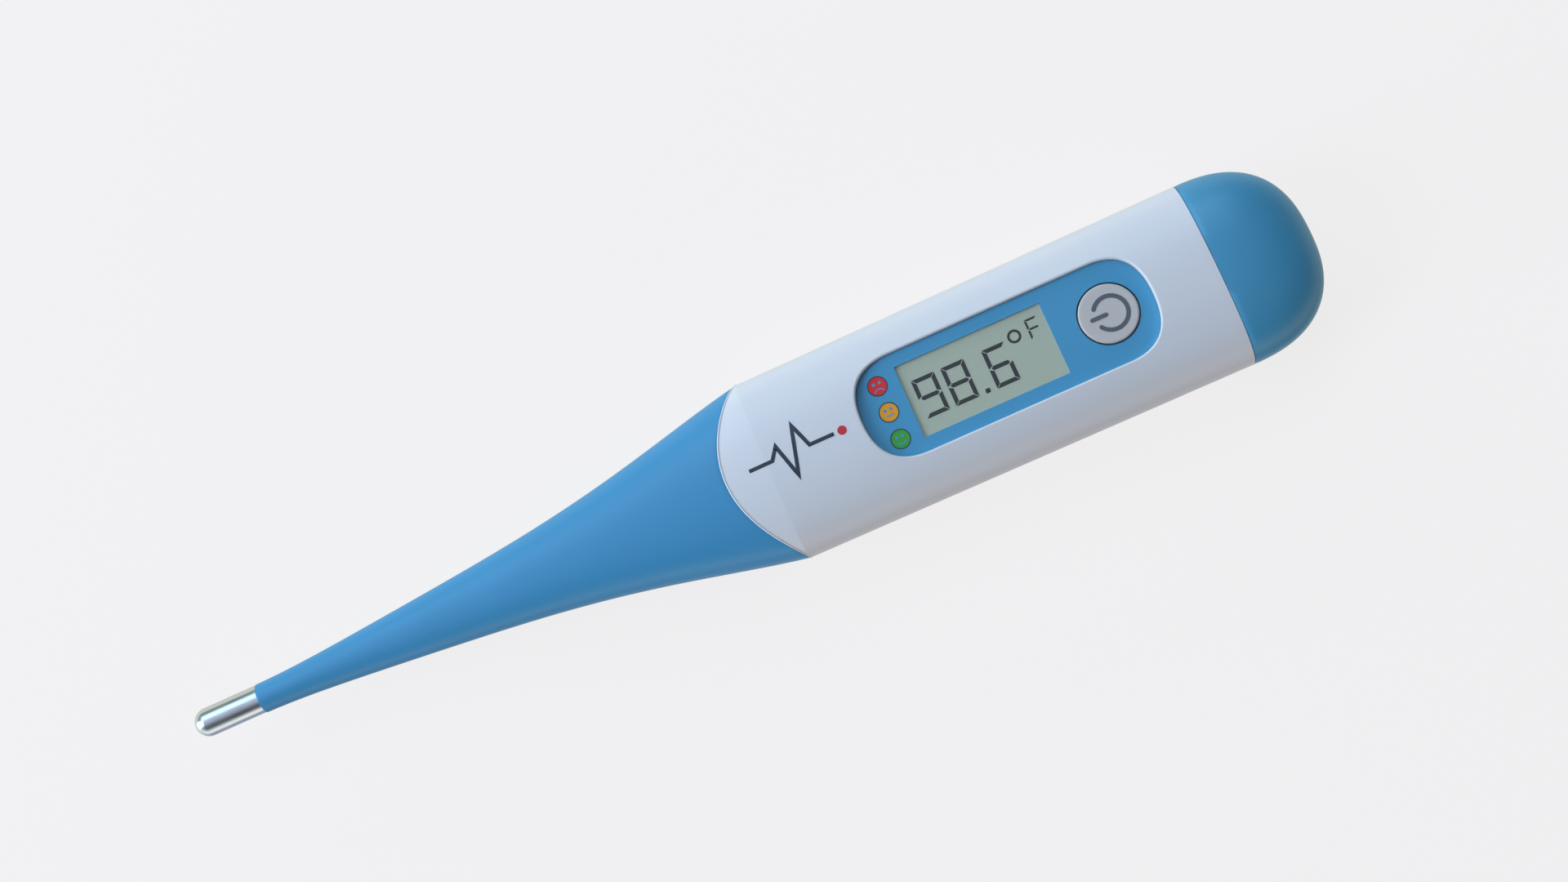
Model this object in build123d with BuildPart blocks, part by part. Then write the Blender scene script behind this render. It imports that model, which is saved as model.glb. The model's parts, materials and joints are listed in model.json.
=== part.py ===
from build123d import *
import os
from math import cos, radians, sin, tan

# Digital stick thermometer with a flexible probe.
#
# It lies on its flat underside, Z = 0. X runs along the stick, from the metal tip at -X to the
# battery cap at +X, Y runs across it and the display looks up, +Z. The origin is the middle of
# the footprint. All sizes are in millimetres.

os.makedirs("parts", exist_ok=True)

# ---------------------------------------------------------------- driving dimensions
LENGTH = 132.0
TIP_END = -LENGTH / 2
CAP_END = LENGTH / 2
AXIS_HEIGHT = 6.2  # the probe's centre line, and the widest line of the body
CROWN = 5.4  # from the widest line up to the crown of the body
BELLY = 6.2  # from the widest line down to the flat underside
FOOT = 4.0  # half-width of the flat underside
SHOULDER_X = 3.6  # where the straight body begins to narrow into the probe
CAP_X = 54.9  # where the battery cap meets the body
HALF_WIDTH_FRONT = 10.18
HALF_WIDTH_REAR = 10.43
ROUND = 0.5523  # handle share that makes a Bezier quarter an ellipse
FULL = 0.68  # handle share of the body's fuller, squarer quarters

# The metal tip, its shank inside the sleeve, and the sleeve's front end.
TIP_R = 1.6
SHANK_R = 1.35
TIP_BORE_R = 1.1
SLEEVE_FRONT = -58.0
SHANK_END = -55.2

# The flexible stretch: hinges that bend up and down take turns with hinges that bend sideways.
HINGES = 12
FIRST_HINGE_X = -19.0
HINGE_PITCH = 3.2
BEND_DEG = 10.0
SWAY_DEG = 6.0
HINGE_GAP = 0.04
WIRE_BORE_R = 0.8
WIRE_R = 0.2
WIRE_Y = 0.32

# The seam between the white body and the blue probe is a parabola in plan.
SEAM_APEX_X = -1.2
SEAM_SIDE_X = 3.6

# The recessed blue panel on the display side.
PANEL_LEFT = 14.6
PANEL_RIGHT = 47.85
PANEL_HALF = 5.65
PANEL_LEFT_END = 5.5  # length of the rounded left end
PANEL_RIGHT_END = 5.0
PANEL_Z = 10.55
BEZEL_UNDER = 8.9
CEILING = 9.6  # inner ceiling of the body over the bezel's flange
FLANGE = 0.9
LCD_X = 28.31
LCD_LENGTH = 16.67
LCD_WIDTH = 8.21
BUTTON_X = 42.8
BUTTON_R = 3.2
BUTTON_HOLE_R = 3.38
BUTTON_FLANGE_R = 4.0
BUTTON_TOP = 10.75
LIGHT_X = 17.6
LIGHT_Y = {"fever": 2.95, "raised": -0.1, "normal": -3.22}
LIGHT_R = 1.02
LIGHT_HOLE_R = 1.08

# The hollow of the body and the spigot that the cap pushes onto.
CAVITY_FRONT = 4.6
CAVITY_HALF = 8.45
CAVITY_FLOOR = 1.9
CAVITY_R = 3.8
SPIGOT_END = 58.8
SPIGOT = (9.25, 4.25, 5.05, 3.6)  # half-width, above, below, half of the flat
CAP_FIT = 0.08
CAP_GAP = 0.05
RING_THICK = 0.5
RING_WIDTH = 0.8

# The inner works.
BOARD_UNDER = 5.6
BOARD_TOP = 6.6
BOARD_FRONT = 13.0
BOARD_REAR = 45.8
BOARD_HALF = 7.4
CHASSIS_FRONT = 9.0
CHASSIS_REAR = 58.6
CHASSIS_HALF = 8.3
CHASSIS_FLOOR = 2.05
CHASSIS_TOP = 7.1
BAY_FRONT = 46.9
CELL_X = 54.6
CELL_R = 3.95
CELL_UNDER = 3.6
CELL_TOP = 7.2


REARWARD = (1, 0, 0)
UPWARD = (0, 0, 1)


# ---------------------------------------------------------------- shared shapes
def cross_section(x, half_width, above, below, flat, fullness):
    """A cross-section at x: a flat foot, then one quarter curve below and one above each side."""
    foot = AXIS_HEIGHT - below
    crown = AXIS_HEIGHT + above
    with BuildSketch(Plane.YZ.offset(x)) as section:
        with BuildLine():
            Line((-flat, foot), (flat, foot))
            for side in (1, -1):
                Bezier(
                    (side * flat, foot),
                    (side * (flat + fullness * (half_width - flat)), foot),
                    (side * half_width, AXIS_HEIGHT - fullness * below),
                    (side * half_width, AXIS_HEIGHT),
                )
                Bezier(
                    (side * half_width, AXIS_HEIGHT),
                    (side * half_width, AXIS_HEIGHT + fullness * above),
                    (side * fullness * half_width, crown),
                    (0, crown),
                )
        make_face()
    return section.sketch


def panel_outline(height, margin):
    """The panel's rounded outline at a height, grown all round by the margin."""
    left, right = PANEL_LEFT - margin, PANEL_RIGHT + margin
    half = PANEL_HALF + margin
    left_turn, right_turn = left + PANEL_LEFT_END, right - PANEL_RIGHT_END
    with BuildSketch(Plane.XY.offset(height)) as outline:
        with BuildLine():
            for side in (1, -1):
                Line((left_turn, side * half), (right_turn, side * half))
                Bezier(
                    (right_turn, side * half),
                    (right_turn + FULL * PANEL_RIGHT_END, side * half),
                    (right, side * FULL * half),
                    (right, 0),
                )
                Bezier(
                    (left_turn, side * half),
                    (left_turn - FULL * PANEL_LEFT_END, side * half),
                    (left, side * FULL * half),
                    (left, 0),
                )
        make_face()
    return outline.sketch


def rounded_tunnel(x, half_width, floor, ceiling, radius):
    """A round-cornered rectangle across the stick at x."""
    middle = (floor + ceiling) / 2
    with BuildSketch(Plane.YZ.offset(x)) as tunnel:
        with Locations((0, middle)):
            RectangleRounded(2 * half_width, ceiling - floor, radius)
    return tunnel.sketch


def block(x_low, x_high, half_width, z_low, z_high):
    """A plain block across the centre line, for a pocket or a board."""
    size = (x_high - x_low, 2 * half_width, z_high - z_low)
    middle = ((x_low + x_high) / 2, 0, (z_low + z_high) / 2)
    with BuildPart() as piece:
        with Locations(middle):
            Box(*size)
    return piece.part


def finish(piece, label):
    """Name a finished piece and write it."""
    piece.label = label
    export_step(piece, f"parts/{label}.step")


# ---------------------------------------------------------------- outer form
# Stations of the probe: x, half-width, above and below the centre line, half of the flat, fullness.
PROBE_STATIONS = [
    (SLEEVE_FRONT, 1.66, 1.66, 1.66, 0.1, ROUND),
    (-44.0, 2.58, 2.2, 2.2, 0.35, 0.58),
    (-30.0, 3.97, 2.95, 3.05, 0.8, 0.61),
    (FIRST_HINGE_X, 5.45, 3.75, 4.0, 1.6, 0.63),
    (-8.2, 7.6, 4.6, 5.15, 2.6, 0.66),
    (SHOULDER_X, HALF_WIDTH_FRONT, CROWN, BELLY, FOOT, FULL),
]

with BuildPart() as probe_form:
    loft(sections=[cross_section(*station) for station in PROBE_STATIONS])

with BuildPart() as body_form:
    front = cross_section(SHOULDER_X, HALF_WIDTH_FRONT, CROWN, BELLY, FOOT, FULL)
    rear = cross_section(CAP_X, HALF_WIDTH_REAR, CROWN, BELLY, FOOT, FULL)
    loft(sections=[front, rear], ruled=True)

# Everything behind the seam: its front face is a parabola with its apex at y = 0.
SEAM_REACH = 14.0
SEAM_REACH_X = SEAM_APEX_X + (SEAM_SIDE_X - SEAM_APEX_X) * (SEAM_REACH / HALF_WIDTH_FRONT) ** 2
with BuildPart() as behind_seam:
    with BuildSketch():
        with BuildLine():
            Bezier(
                (SEAM_REACH_X, -SEAM_REACH),
                (2 * SEAM_APEX_X - SEAM_REACH_X, 0),
                (SEAM_REACH_X, SEAM_REACH),
            )
            Polyline(
                (SEAM_REACH_X, SEAM_REACH),
                (CAP_X, SEAM_REACH),
                (CAP_X, -SEAM_REACH),
                (SEAM_REACH_X, -SEAM_REACH),
            )
        make_face()
    extrude(amount=2 * AXIS_HEIGHT)

# The stiff nose of the body that the rear of the sleeve is moulded over. Each shape is the
# half-width, above, below and half of the flat.
NOSE_FRONT = -14.0
NOSE_END = (4.0, 2.5, 2.7, 1.0)
NOSE_ROOT = (7.6, 4.0, 4.4, 2.4)
with BuildPart() as nose:
    nose_root = cross_section(CAVITY_FRONT, *NOSE_ROOT, FULL)
    nose_end = cross_section(NOSE_FRONT, *NOSE_END, FULL)
    loft(sections=[nose_end, nose_root], ruled=True)

with BuildPart() as wire_channel:
    with BuildSketch(Plane.YZ.offset(SLEEVE_FRONT)):
        with Locations((0, AXIS_HEIGHT)):
            Circle(WIRE_BORE_R)
    extrude(amount=CAVITY_FRONT - SLEEVE_FRONT)

# ---------------------------------------------------------------- probe
with BuildPart() as probe_base:
    add(probe_form.part)
    split(bisect_by=Plane.YZ.offset(FIRST_HINGE_X), keep=Keep.TOP)
    add(behind_seam.part, mode=Mode.SUBTRACT)
    add(nose.part, mode=Mode.SUBTRACT)
    add(wire_channel.part, mode=Mode.SUBTRACT)
finish(probe_base.part, "probe_base")


RELIEF_REACH = 12.0
RELIEF_SPARE_DEG = 0.4


def hinge_relief(x, bends_up, angle):
    """The wedge taken off a segment's rear face on both sides of its hinge line."""
    reach = RELIEF_REACH
    setback = reach * tan(radians(angle + RELIEF_SPARE_DEG))
    apex = x - HINGE_GAP
    base = AXIS_HEIGHT if bends_up else 0
    plane = Plane.XZ if bends_up else Plane.XY
    with BuildPart() as wedge:
        with BuildSketch(plane):
            with BuildLine():
                Polyline(
                    (apex, base),
                    (apex - setback, base + reach),
                    (x + reach, base + reach),
                    (x + reach, base - reach),
                    (apex - setback, base - reach),
                    close=True,
                )
            make_face()
        extrude(amount=2 * reach, both=True)
    return wedge.part


for index in range(HINGES):
    rear_x = FIRST_HINGE_X - index * HINGE_PITCH
    last = index == HINGES - 1
    front_x = SLEEVE_FRONT if last else rear_x - HINGE_PITCH
    bends_up = index % 2 == 0
    angle = BEND_DEG if bends_up else SWAY_DEG
    with BuildPart() as segment:
        add(probe_form.part)
        split(bisect_by=Plane.YZ.offset(rear_x), keep=Keep.BOTTOM)
        if not last:
            split(bisect_by=Plane.YZ.offset(front_x), keep=Keep.TOP)
        add(hinge_relief(rear_x, bends_up, angle), mode=Mode.SUBTRACT)
        add(wire_channel.part, mode=Mode.SUBTRACT)
        if last:
            with BuildSketch(Plane.YZ.offset(SLEEVE_FRONT)):
                with Locations((0, AXIS_HEIGHT)):
                    Circle(SHANK_R)
            extrude(amount=SHANK_END - SLEEVE_FRONT, mode=Mode.SUBTRACT)
    finish(segment.part, f"sleeve_segment_{index + 1:02d}")

PROBE_AXIS = Axis((0, 0, AXIS_HEIGHT), (1, 0, 0))
DOME_X = TIP_END + TIP_R
with BuildPart() as probe_tip:
    with BuildSketch(Plane.XZ):
        with BuildLine():
            RadiusArc((TIP_END, AXIS_HEIGHT), (DOME_X, AXIS_HEIGHT + TIP_R), TIP_R)
            Polyline(
                (DOME_X, AXIS_HEIGHT + TIP_R),
                (SLEEVE_FRONT, AXIS_HEIGHT + TIP_R),
                (SLEEVE_FRONT, AXIS_HEIGHT + SHANK_R),
                (SHANK_END, AXIS_HEIGHT + SHANK_R),
                (SHANK_END, AXIS_HEIGHT + TIP_BORE_R),
                (DOME_X, AXIS_HEIGHT + TIP_BORE_R),
            )
            RadiusArc(
                (DOME_X, AXIS_HEIGHT + TIP_BORE_R),
                (DOME_X - TIP_BORE_R, AXIS_HEIGHT),
                -TIP_BORE_R,
            )
            Line((DOME_X - TIP_BORE_R, AXIS_HEIGHT), (TIP_END, AXIS_HEIGHT))
        make_face()
    revolve(axis=PROBE_AXIS)
finish(probe_tip.part, "probe_tip")

# Two insulated wires run from the thermistor to the front pads of the circuit board.
BEAD_R = 0.55
BEAD_X = DOME_X - 0.2
WIRE_START = BEAD_X + 0.35
PAD_X = BOARD_FRONT + 2.0
WIRE_ON_BOARD = BOARD_TOP + WIRE_R + 0.03
WIRE_ARCH = 0.3  # how far the wires arch over the front edge of the board
WIRE_BEND_R = 12.0
with BuildPart() as lead_wires:
    for side in (1, -1):
        route_plane = Plane.XZ.offset(-side * WIRE_Y)
        with BuildLine(route_plane) as route:
            FilletPolyline(
                (WIRE_START, AXIS_HEIGHT),
                (CAVITY_FRONT + 0.6, AXIS_HEIGHT),
                (BOARD_FRONT - 1.6, WIRE_ON_BOARD + WIRE_ARCH),
                (PAD_X, WIRE_ON_BOARD),
                radius=WIRE_BEND_R,
            )
        with BuildSketch(Plane(route.line @ 0, z_dir=route.line % 0)):
            Circle(WIRE_R)
        sweep(path=route.line)
finish(lead_wires.part, "lead_wires")

with BuildPart() as thermistor_bead:
    with Locations((BEAD_X, 0, AXIS_HEIGHT)):
        Sphere(BEAD_R)
    add(lead_wires.part, mode=Mode.SUBTRACT)
finish(thermistor_bead.part, "thermistor_bead")

# Epoxy fills the tip around the bead and the wires.
POTTING_END = SHANK_END - 1.0
with BuildPart() as tip_potting:
    with BuildSketch(Plane.XZ):
        with BuildLine():
            RadiusArc(
                (DOME_X - TIP_BORE_R, AXIS_HEIGHT),
                (DOME_X, AXIS_HEIGHT + TIP_BORE_R),
                TIP_BORE_R,
            )
            Polyline(
                (DOME_X, AXIS_HEIGHT + TIP_BORE_R),
                (POTTING_END, AXIS_HEIGHT + TIP_BORE_R),
                (POTTING_END, AXIS_HEIGHT),
                (DOME_X - TIP_BORE_R, AXIS_HEIGHT),
            )
        make_face()
    revolve(axis=PROBE_AXIS)
    with Locations((BEAD_X, 0, AXIS_HEIGHT)):
        Sphere(BEAD_R, mode=Mode.SUBTRACT)
    add(lead_wires.part, mode=Mode.SUBTRACT)
finish(tip_potting.part, "tip_potting")

# ---------------------------------------------------------------- body
SEAT_MARGIN = FLANGE + 0.1
SEAT_UNDER = 8.1
RIM_R = 0.2
with BuildPart() as main_housing:
    add(probe_form.part)
    split(bisect_by=Plane.YZ.offset(SEAM_APEX_X), keep=Keep.TOP)
    add(body_form.part)
    add(behind_seam.part, mode=Mode.INTERSECT)
    add(nose.part)
    extrude(cross_section(CAP_X, *SPIGOT, FULL), amount=SPIGOT_END - CAP_X, dir=REARWARD)
    cavity = rounded_tunnel(CAVITY_FRONT, CAVITY_HALF, CAVITY_FLOOR, CEILING, CAVITY_R)
    extrude(cavity, amount=LENGTH, dir=REARWARD, mode=Mode.SUBTRACT)
    add(wire_channel.part, mode=Mode.SUBTRACT)
    seat = panel_outline(SEAT_UNDER, SEAT_MARGIN)
    extrude(seat, amount=CEILING - SEAT_UNDER, dir=UPWARD, mode=Mode.SUBTRACT)
    extrude(panel_outline(SEAT_UNDER, 0), amount=BELLY, dir=UPWARD, mode=Mode.SUBTRACT)
    crown_edges = main_housing.edges().filter_by(
        lambda edge: edge.bounding_box().min.Z > PANEL_Z + 0.2
        and abs(edge.center().Y) < PANEL_HALF + 0.01
        and PANEL_LEFT - 0.01 < edge.bounding_box().min.X
        and edge.bounding_box().max.X < PANEL_RIGHT + 0.01
    )
    fillet(crown_edges, radius=RIM_R)
finish(main_housing.part, "main_housing")

# ---------------------------------------------------------------- display side
PLUG_FIT = 0.04
POCKET_CEILING = 10.3
GLASS_LEFT, GLASS_RIGHT = 19.5, 37.7
GLASS_PLAY = 0.05
FRONT_GLASS_HALF = 4.9
REAR_GLASS_HALF = 3.9
BUTTON_LEDGE = 9.7  # height of the ledge that keeps the button in
LIGHT_SPOTS = [(LIGHT_X, y) for y in LIGHT_Y.values()]
with BuildPart() as display_bezel:
    extrude(panel_outline(BEZEL_UNDER, FLANGE), amount=CEILING - BEZEL_UNDER, dir=UPWARD)
    extrude(panel_outline(CEILING, -PLUG_FIT), amount=PANEL_Z - CEILING, dir=UPWARD)
    add(
        block(
            GLASS_LEFT - GLASS_PLAY,
            GLASS_RIGHT + GLASS_PLAY,
            FRONT_GLASS_HALF + GLASS_PLAY,
            BEZEL_UNDER,
            POCKET_CEILING,
        ),
        mode=Mode.SUBTRACT,
    )
    with BuildSketch(Plane.XY.offset(BEZEL_UNDER)):
        with Locations((LCD_X, 0)):
            Rectangle(LCD_LENGTH, LCD_WIDTH)
        with Locations((BUTTON_X, 0)):
            Circle(BUTTON_HOLE_R)
        with Locations(*LIGHT_SPOTS):
            Circle(LIGHT_HOLE_R)
    extrude(amount=PANEL_Z - BEZEL_UNDER, mode=Mode.SUBTRACT)
    with BuildSketch(Plane.XY.offset(BEZEL_UNDER)):
        with Locations((BUTTON_X, 0)):
            Circle(BUTTON_FLANGE_R + 0.3)
    extrude(amount=BUTTON_LEDGE - BEZEL_UNDER, mode=Mode.SUBTRACT)
finish(display_bezel.part, "display_bezel")

LENS_TOP = 10.5
finish(
    block(
        LCD_X - LCD_LENGTH / 2,
        LCD_X + LCD_LENGTH / 2,
        LCD_WIDTH / 2,
        POCKET_CEILING,
        LENS_TOP,
    ),
    "display_lens",
)

LIGHT_UNDER = 8.3
for name, y in LIGHT_Y.items():
    with BuildPart() as light_window:
        with BuildSketch(Plane.XY.offset(LIGHT_UNDER)):
            with Locations((LIGHT_X, y)):
                Circle(LIGHT_R + 0.3)
        extrude(amount=BEZEL_UNDER - LIGHT_UNDER)
        with BuildSketch(Plane.XY.offset(BEZEL_UNDER)):
            with Locations((LIGHT_X, y)):
                Circle(LIGHT_R)
        extrude(amount=PANEL_Z - BEZEL_UNDER)
    finish(light_window.part, f"{name}_light_window")

GLASS_TOP = POCKET_CEILING - 0.02
GLASS_JOIN = 9.8
REFLECTOR_TOP = 9.25
REFLECTOR_UNDER = 9.15
finish(
    block(GLASS_LEFT, GLASS_RIGHT, FRONT_GLASS_HALF, GLASS_JOIN, GLASS_TOP),
    "lcd_front_glass",
)
finish(
    block(GLASS_LEFT, GLASS_RIGHT, REAR_GLASS_HALF, REFLECTOR_TOP, GLASS_JOIN),
    "lcd_rear_glass",
)
INNER_LEFT = GLASS_LEFT + 0.5
finish(
    block(INNER_LEFT, GLASS_RIGHT, REAR_GLASS_HALF, REFLECTOR_UNDER, REFLECTOR_TOP),
    "lcd_reflector",
)
finish(
    block(INNER_LEFT + 0.1, GLASS_RIGHT - 0.1, REAR_GLASS_HALF - 0.1, BOARD_TOP, REFLECTOR_UNDER),
    "lcd_spacer",
)

ZEBRA_WIDTH = 0.9
ZEBRA_Y = REAR_GLASS_HALF + 0.05 + ZEBRA_WIDTH / 2
with BuildPart() as zebra_strips:
    with BuildSketch(Plane.XY.offset(BOARD_TOP)):
        with Locations(((INNER_LEFT + GLASS_RIGHT) / 2, 0)):
            with GridLocations(1, 2 * ZEBRA_Y, 1, 2):
                Rectangle(GLASS_RIGHT - INNER_LEFT - 0.2, ZEBRA_WIDTH)
    extrude(amount=GLASS_JOIN - BOARD_TOP)
finish(zebra_strips.part, "zebra_strips")

FRAME_TOP = BEZEL_UNDER - 0.05
FRAME_HALF = 5.7
with BuildPart() as lcd_frame:
    add(block(GLASS_LEFT - 0.2, GLASS_RIGHT + 0.8, FRAME_HALF, BOARD_TOP, FRAME_TOP))
    add(
        block(
            INNER_LEFT - GLASS_PLAY,
            GLASS_RIGHT + GLASS_PLAY,
            FRONT_GLASS_HALF + 0.02,
            BOARD_TOP,
            FRAME_TOP,
        ),
        mode=Mode.SUBTRACT,
    )
finish(lcd_frame.part, "lcd_frame")

# ---------------------------------------------------------------- power button and its switch
BUTTON_TRAVEL = 0.45
BUTTON_EDGE_R = 0.15
BUTTON_UNDER = 9.2
PAD_UNDER = 8.8
PLUNGER_TOP = 8.2
PLUNGER_R = 1.0
SWITCH_TOP = 7.7
with BuildPart() as power_button:
    with BuildSketch(Plane.XY.offset(BUTTON_UNDER)):
        with Locations((BUTTON_X, 0)):
            Circle(BUTTON_FLANGE_R)
    extrude(amount=BUTTON_LEDGE - 0.05 - BUTTON_UNDER)
    with BuildSketch(Plane.XY.offset(BUTTON_UNDER)):
        with Locations((BUTTON_X, 0)):
            Circle(BUTTON_R)
    extrude(amount=BUTTON_TOP - BUTTON_UNDER)
    top_edge = power_button.faces().sort_by(Axis.Z)[-1].edges()
    fillet(top_edge, radius=BUTTON_EDGE_R)
finish(power_button.part, "power_button")

with BuildPart() as button_pad:
    with BuildSketch(Plane.XY.offset(PAD_UNDER)):
        with Locations((BUTTON_X, 0)):
            Circle(BUTTON_FLANGE_R - 0.2)
    extrude(amount=BUTTON_UNDER - PAD_UNDER)
    with BuildSketch(Plane.XY.offset(PLUNGER_TOP)):
        with Locations((BUTTON_X, 0)):
            Circle(PLUNGER_R)
    extrude(amount=PAD_UNDER - PLUNGER_TOP)
finish(button_pad.part, "button_pad")

SWITCH_SIZE = 3.6
with BuildPart() as switch_body:
    with BuildSketch(Plane.XY.offset(BOARD_TOP)):
        with Locations((BUTTON_X, 0)):
            RectangleRounded(SWITCH_SIZE, SWITCH_SIZE, 0.3)
    extrude(amount=SWITCH_TOP - BOARD_TOP)
    with BuildSketch(Plane.XY.offset(BOARD_TOP + 0.05)):
        with Locations((BUTTON_X, 0)):
            Circle(PLUNGER_R + 0.05)
    extrude(amount=SWITCH_TOP - BOARD_TOP, mode=Mode.SUBTRACT)
finish(switch_body.part, "switch_body")

with BuildPart() as switch_plunger:
    with BuildSketch(Plane.XY.offset(BOARD_TOP + 0.1 + BUTTON_TRAVEL)):
        with Locations((BUTTON_X, 0)):
            Circle(PLUNGER_R)
    extrude(amount=PLUNGER_TOP - BOARD_TOP - 0.1 - BUTTON_TRAVEL)
finish(switch_plunger.part, "switch_plunger")

# ---------------------------------------------------------------- circuit board
finish(
    block(BOARD_FRONT, BOARD_REAR, BOARD_HALF, BOARD_UNDER, BOARD_TOP),
    "circuit_board",
)

LED_SIZE = (1.6, 0.8)
LED_HEIGHT = 0.6
with BuildPart() as status_leds:
    with BuildSketch(Plane.XY.offset(BOARD_TOP)):
        with Locations(*LIGHT_SPOTS):
            Rectangle(*LED_SIZE)
    extrude(amount=LED_HEIGHT)
finish(status_leds.part, "status_leds")

CHIP_X = 32.0
CHIP_R = 3.2
CHIP_HEIGHT = 1.1
CHIP_EDGE_R = 0.9
with BuildPart() as controller_chip:
    with BuildSketch(Plane.XY.offset(BOARD_UNDER)):
        with Locations((CHIP_X, 0)):
            Circle(CHIP_R)
    extrude(amount=-CHIP_HEIGHT)
    fillet(controller_chip.faces().sort_by(Axis.Z)[0].edges(), radius=CHIP_EDGE_R)
finish(controller_chip.part, "controller_chip")


def small_parts(spots, length, width, height):
    """Soldered parts under the board, one block at each spot."""
    with BuildPart() as group:
        with BuildSketch(Plane.XY.offset(BOARD_UNDER)):
            with Locations(*spots):
                Rectangle(length, width)
        extrude(amount=-height)
    return group.part


RESISTOR_SPOTS = [(37.5, -4.0), (37.5, -5.6), (33.0, 5.2), (30.4, 5.2)]
RESISTOR_SIZE = (1.6, 0.8, 0.5)
CAPACITOR_SPOTS = [(41.5, 4.6), (41.5, 2.9), (34.2, -5.4)]
CAPACITOR_SIZE = (2.0, 1.2, 0.9)
finish(small_parts(RESISTOR_SPOTS, *RESISTOR_SIZE), "chip_resistors")
finish(small_parts(CAPACITOR_SPOTS, *CAPACITOR_SIZE), "chip_capacitors")

CRYSTAL_R = 0.75
CRYSTAL_X = 38.6
CRYSTAL_Y = 1.0
CRYSTAL_LENGTH = 5.0
with BuildPart() as timing_crystal:
    with BuildSketch(Plane.XZ.offset(-CRYSTAL_Y)):
        with Locations((CRYSTAL_X, BOARD_UNDER - CRYSTAL_R)):
            Circle(CRYSTAL_R)
    extrude(amount=-CRYSTAL_LENGTH)
finish(timing_crystal.part, "timing_crystal")

# The beeper lies on the chassis floor and is wired up to the board.
BEEPER_X = 22.0
BEEPER_R = 6.0
BEEPER_FLOOR = 2.9
BRASS_TOP = 3.1
CERAMIC_TOP = 3.3
CERAMIC_R = 4.3
with BuildPart() as beeper_plate:
    with BuildSketch(Plane.XY.offset(BEEPER_FLOOR)):
        with Locations((BEEPER_X, 0)):
            Circle(BEEPER_R)
    extrude(amount=BRASS_TOP - BEEPER_FLOOR)
finish(beeper_plate.part, "beeper_plate")

with BuildPart() as beeper_ceramic:
    with BuildSketch(Plane.XY.offset(BRASS_TOP)):
        with Locations((BEEPER_X, 0)):
            Circle(CERAMIC_R)
    extrude(amount=CERAMIC_TOP - BRASS_TOP)
finish(beeper_ceramic.part, "beeper_ceramic")

with BuildPart() as beeper_wires:
    with BuildSketch(Plane.XY.offset(BRASS_TOP)):
        with Locations((BEEPER_X, CERAMIC_R + 0.8)):
            Circle(WIRE_R)
    extrude(amount=BOARD_UNDER - BRASS_TOP)
    with BuildSketch(Plane.XY.offset(CERAMIC_TOP)):
        with Locations((BEEPER_X, 1.5)):
            Circle(WIRE_R)
    extrude(amount=BOARD_UNDER - CERAMIC_TOP)
finish(beeper_wires.part, "beeper_wires")

# ---------------------------------------------------------------- chassis and battery
CHASSIS_CROWN = 9.4
CHASSIS_R = 3.6
WELL_HALF = 7.0  # the well under the board, which holds the beeper
BOARD_SEAT_HALF = 7.6
BAY_HALF = 5.2
BAY_FLOOR = 2.95
SLOT_HALF = 1.5  # the slot between the well and the battery bay, for the contacts
with BuildPart() as inner_chassis:
    tube = rounded_tunnel(CHASSIS_FRONT, CHASSIS_HALF, CHASSIS_FLOOR, CHASSIS_CROWN, CHASSIS_R)
    extrude(tube, amount=CHASSIS_REAR - CHASSIS_FRONT, dir=REARWARD)
    split(bisect_by=Plane.XY.offset(CHASSIS_TOP), keep=Keep.BOTTOM)
    for x_low, x_high, half_width, floor in (
        (CHASSIS_FRONT - 1, BOARD_REAR, WELL_HALF, BEEPER_FLOOR),
        (CHASSIS_FRONT - 1, BOARD_REAR + 0.2, BOARD_SEAT_HALF, BOARD_UNDER),
        (BAY_FRONT, CHASSIS_REAR + 1, BAY_HALF, BAY_FLOOR),
        (BOARD_REAR - 1, BAY_FRONT + 1, SLOT_HALF, BAY_FLOOR),
    ):
        add(block(x_low, x_high, half_width, floor, CHASSIS_CROWN), mode=Mode.SUBTRACT)
finish(inner_chassis.part, "inner_chassis")

STRIP = 0.18
STRIP_HALF = 1.2
FOOT_X = BOARD_REAR - 1.1
BEND_X = BOARD_REAR + 0.2
STRIP_END = 56.0


def leaf_contact(points):
    """A bent strip of sprung metal, following points in the X-Z plane."""
    with BuildPart() as strip:
        with BuildSketch(Plane.XZ):
            with BuildLine():
                Polyline(*points)
            trace(line_width=STRIP)
        extrude(amount=STRIP_HALF, both=True)
    return strip.part


finish(
    leaf_contact(
        [
            (FOOT_X, BOARD_TOP + STRIP / 2),
            (BEND_X, BOARD_TOP + STRIP / 2),
            (BEND_X + 0.6, CELL_TOP + 0.25),
            (STRIP_END - 2, CELL_TOP + 0.12),
            (STRIP_END, CELL_TOP + 0.3),
        ]
    ),
    "positive_contact",
)
finish(
    leaf_contact(
        [
            (FOOT_X, BOARD_UNDER - STRIP / 2),
            (BEND_X, BOARD_UNDER - STRIP / 2),
            (BEND_X, CELL_UNDER - 0.25),
            (STRIP_END - 2, CELL_UNDER - 0.12),
            (STRIP_END, CELL_UNDER - 0.3),
        ]
    ),
    "negative_contact",
)

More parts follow.
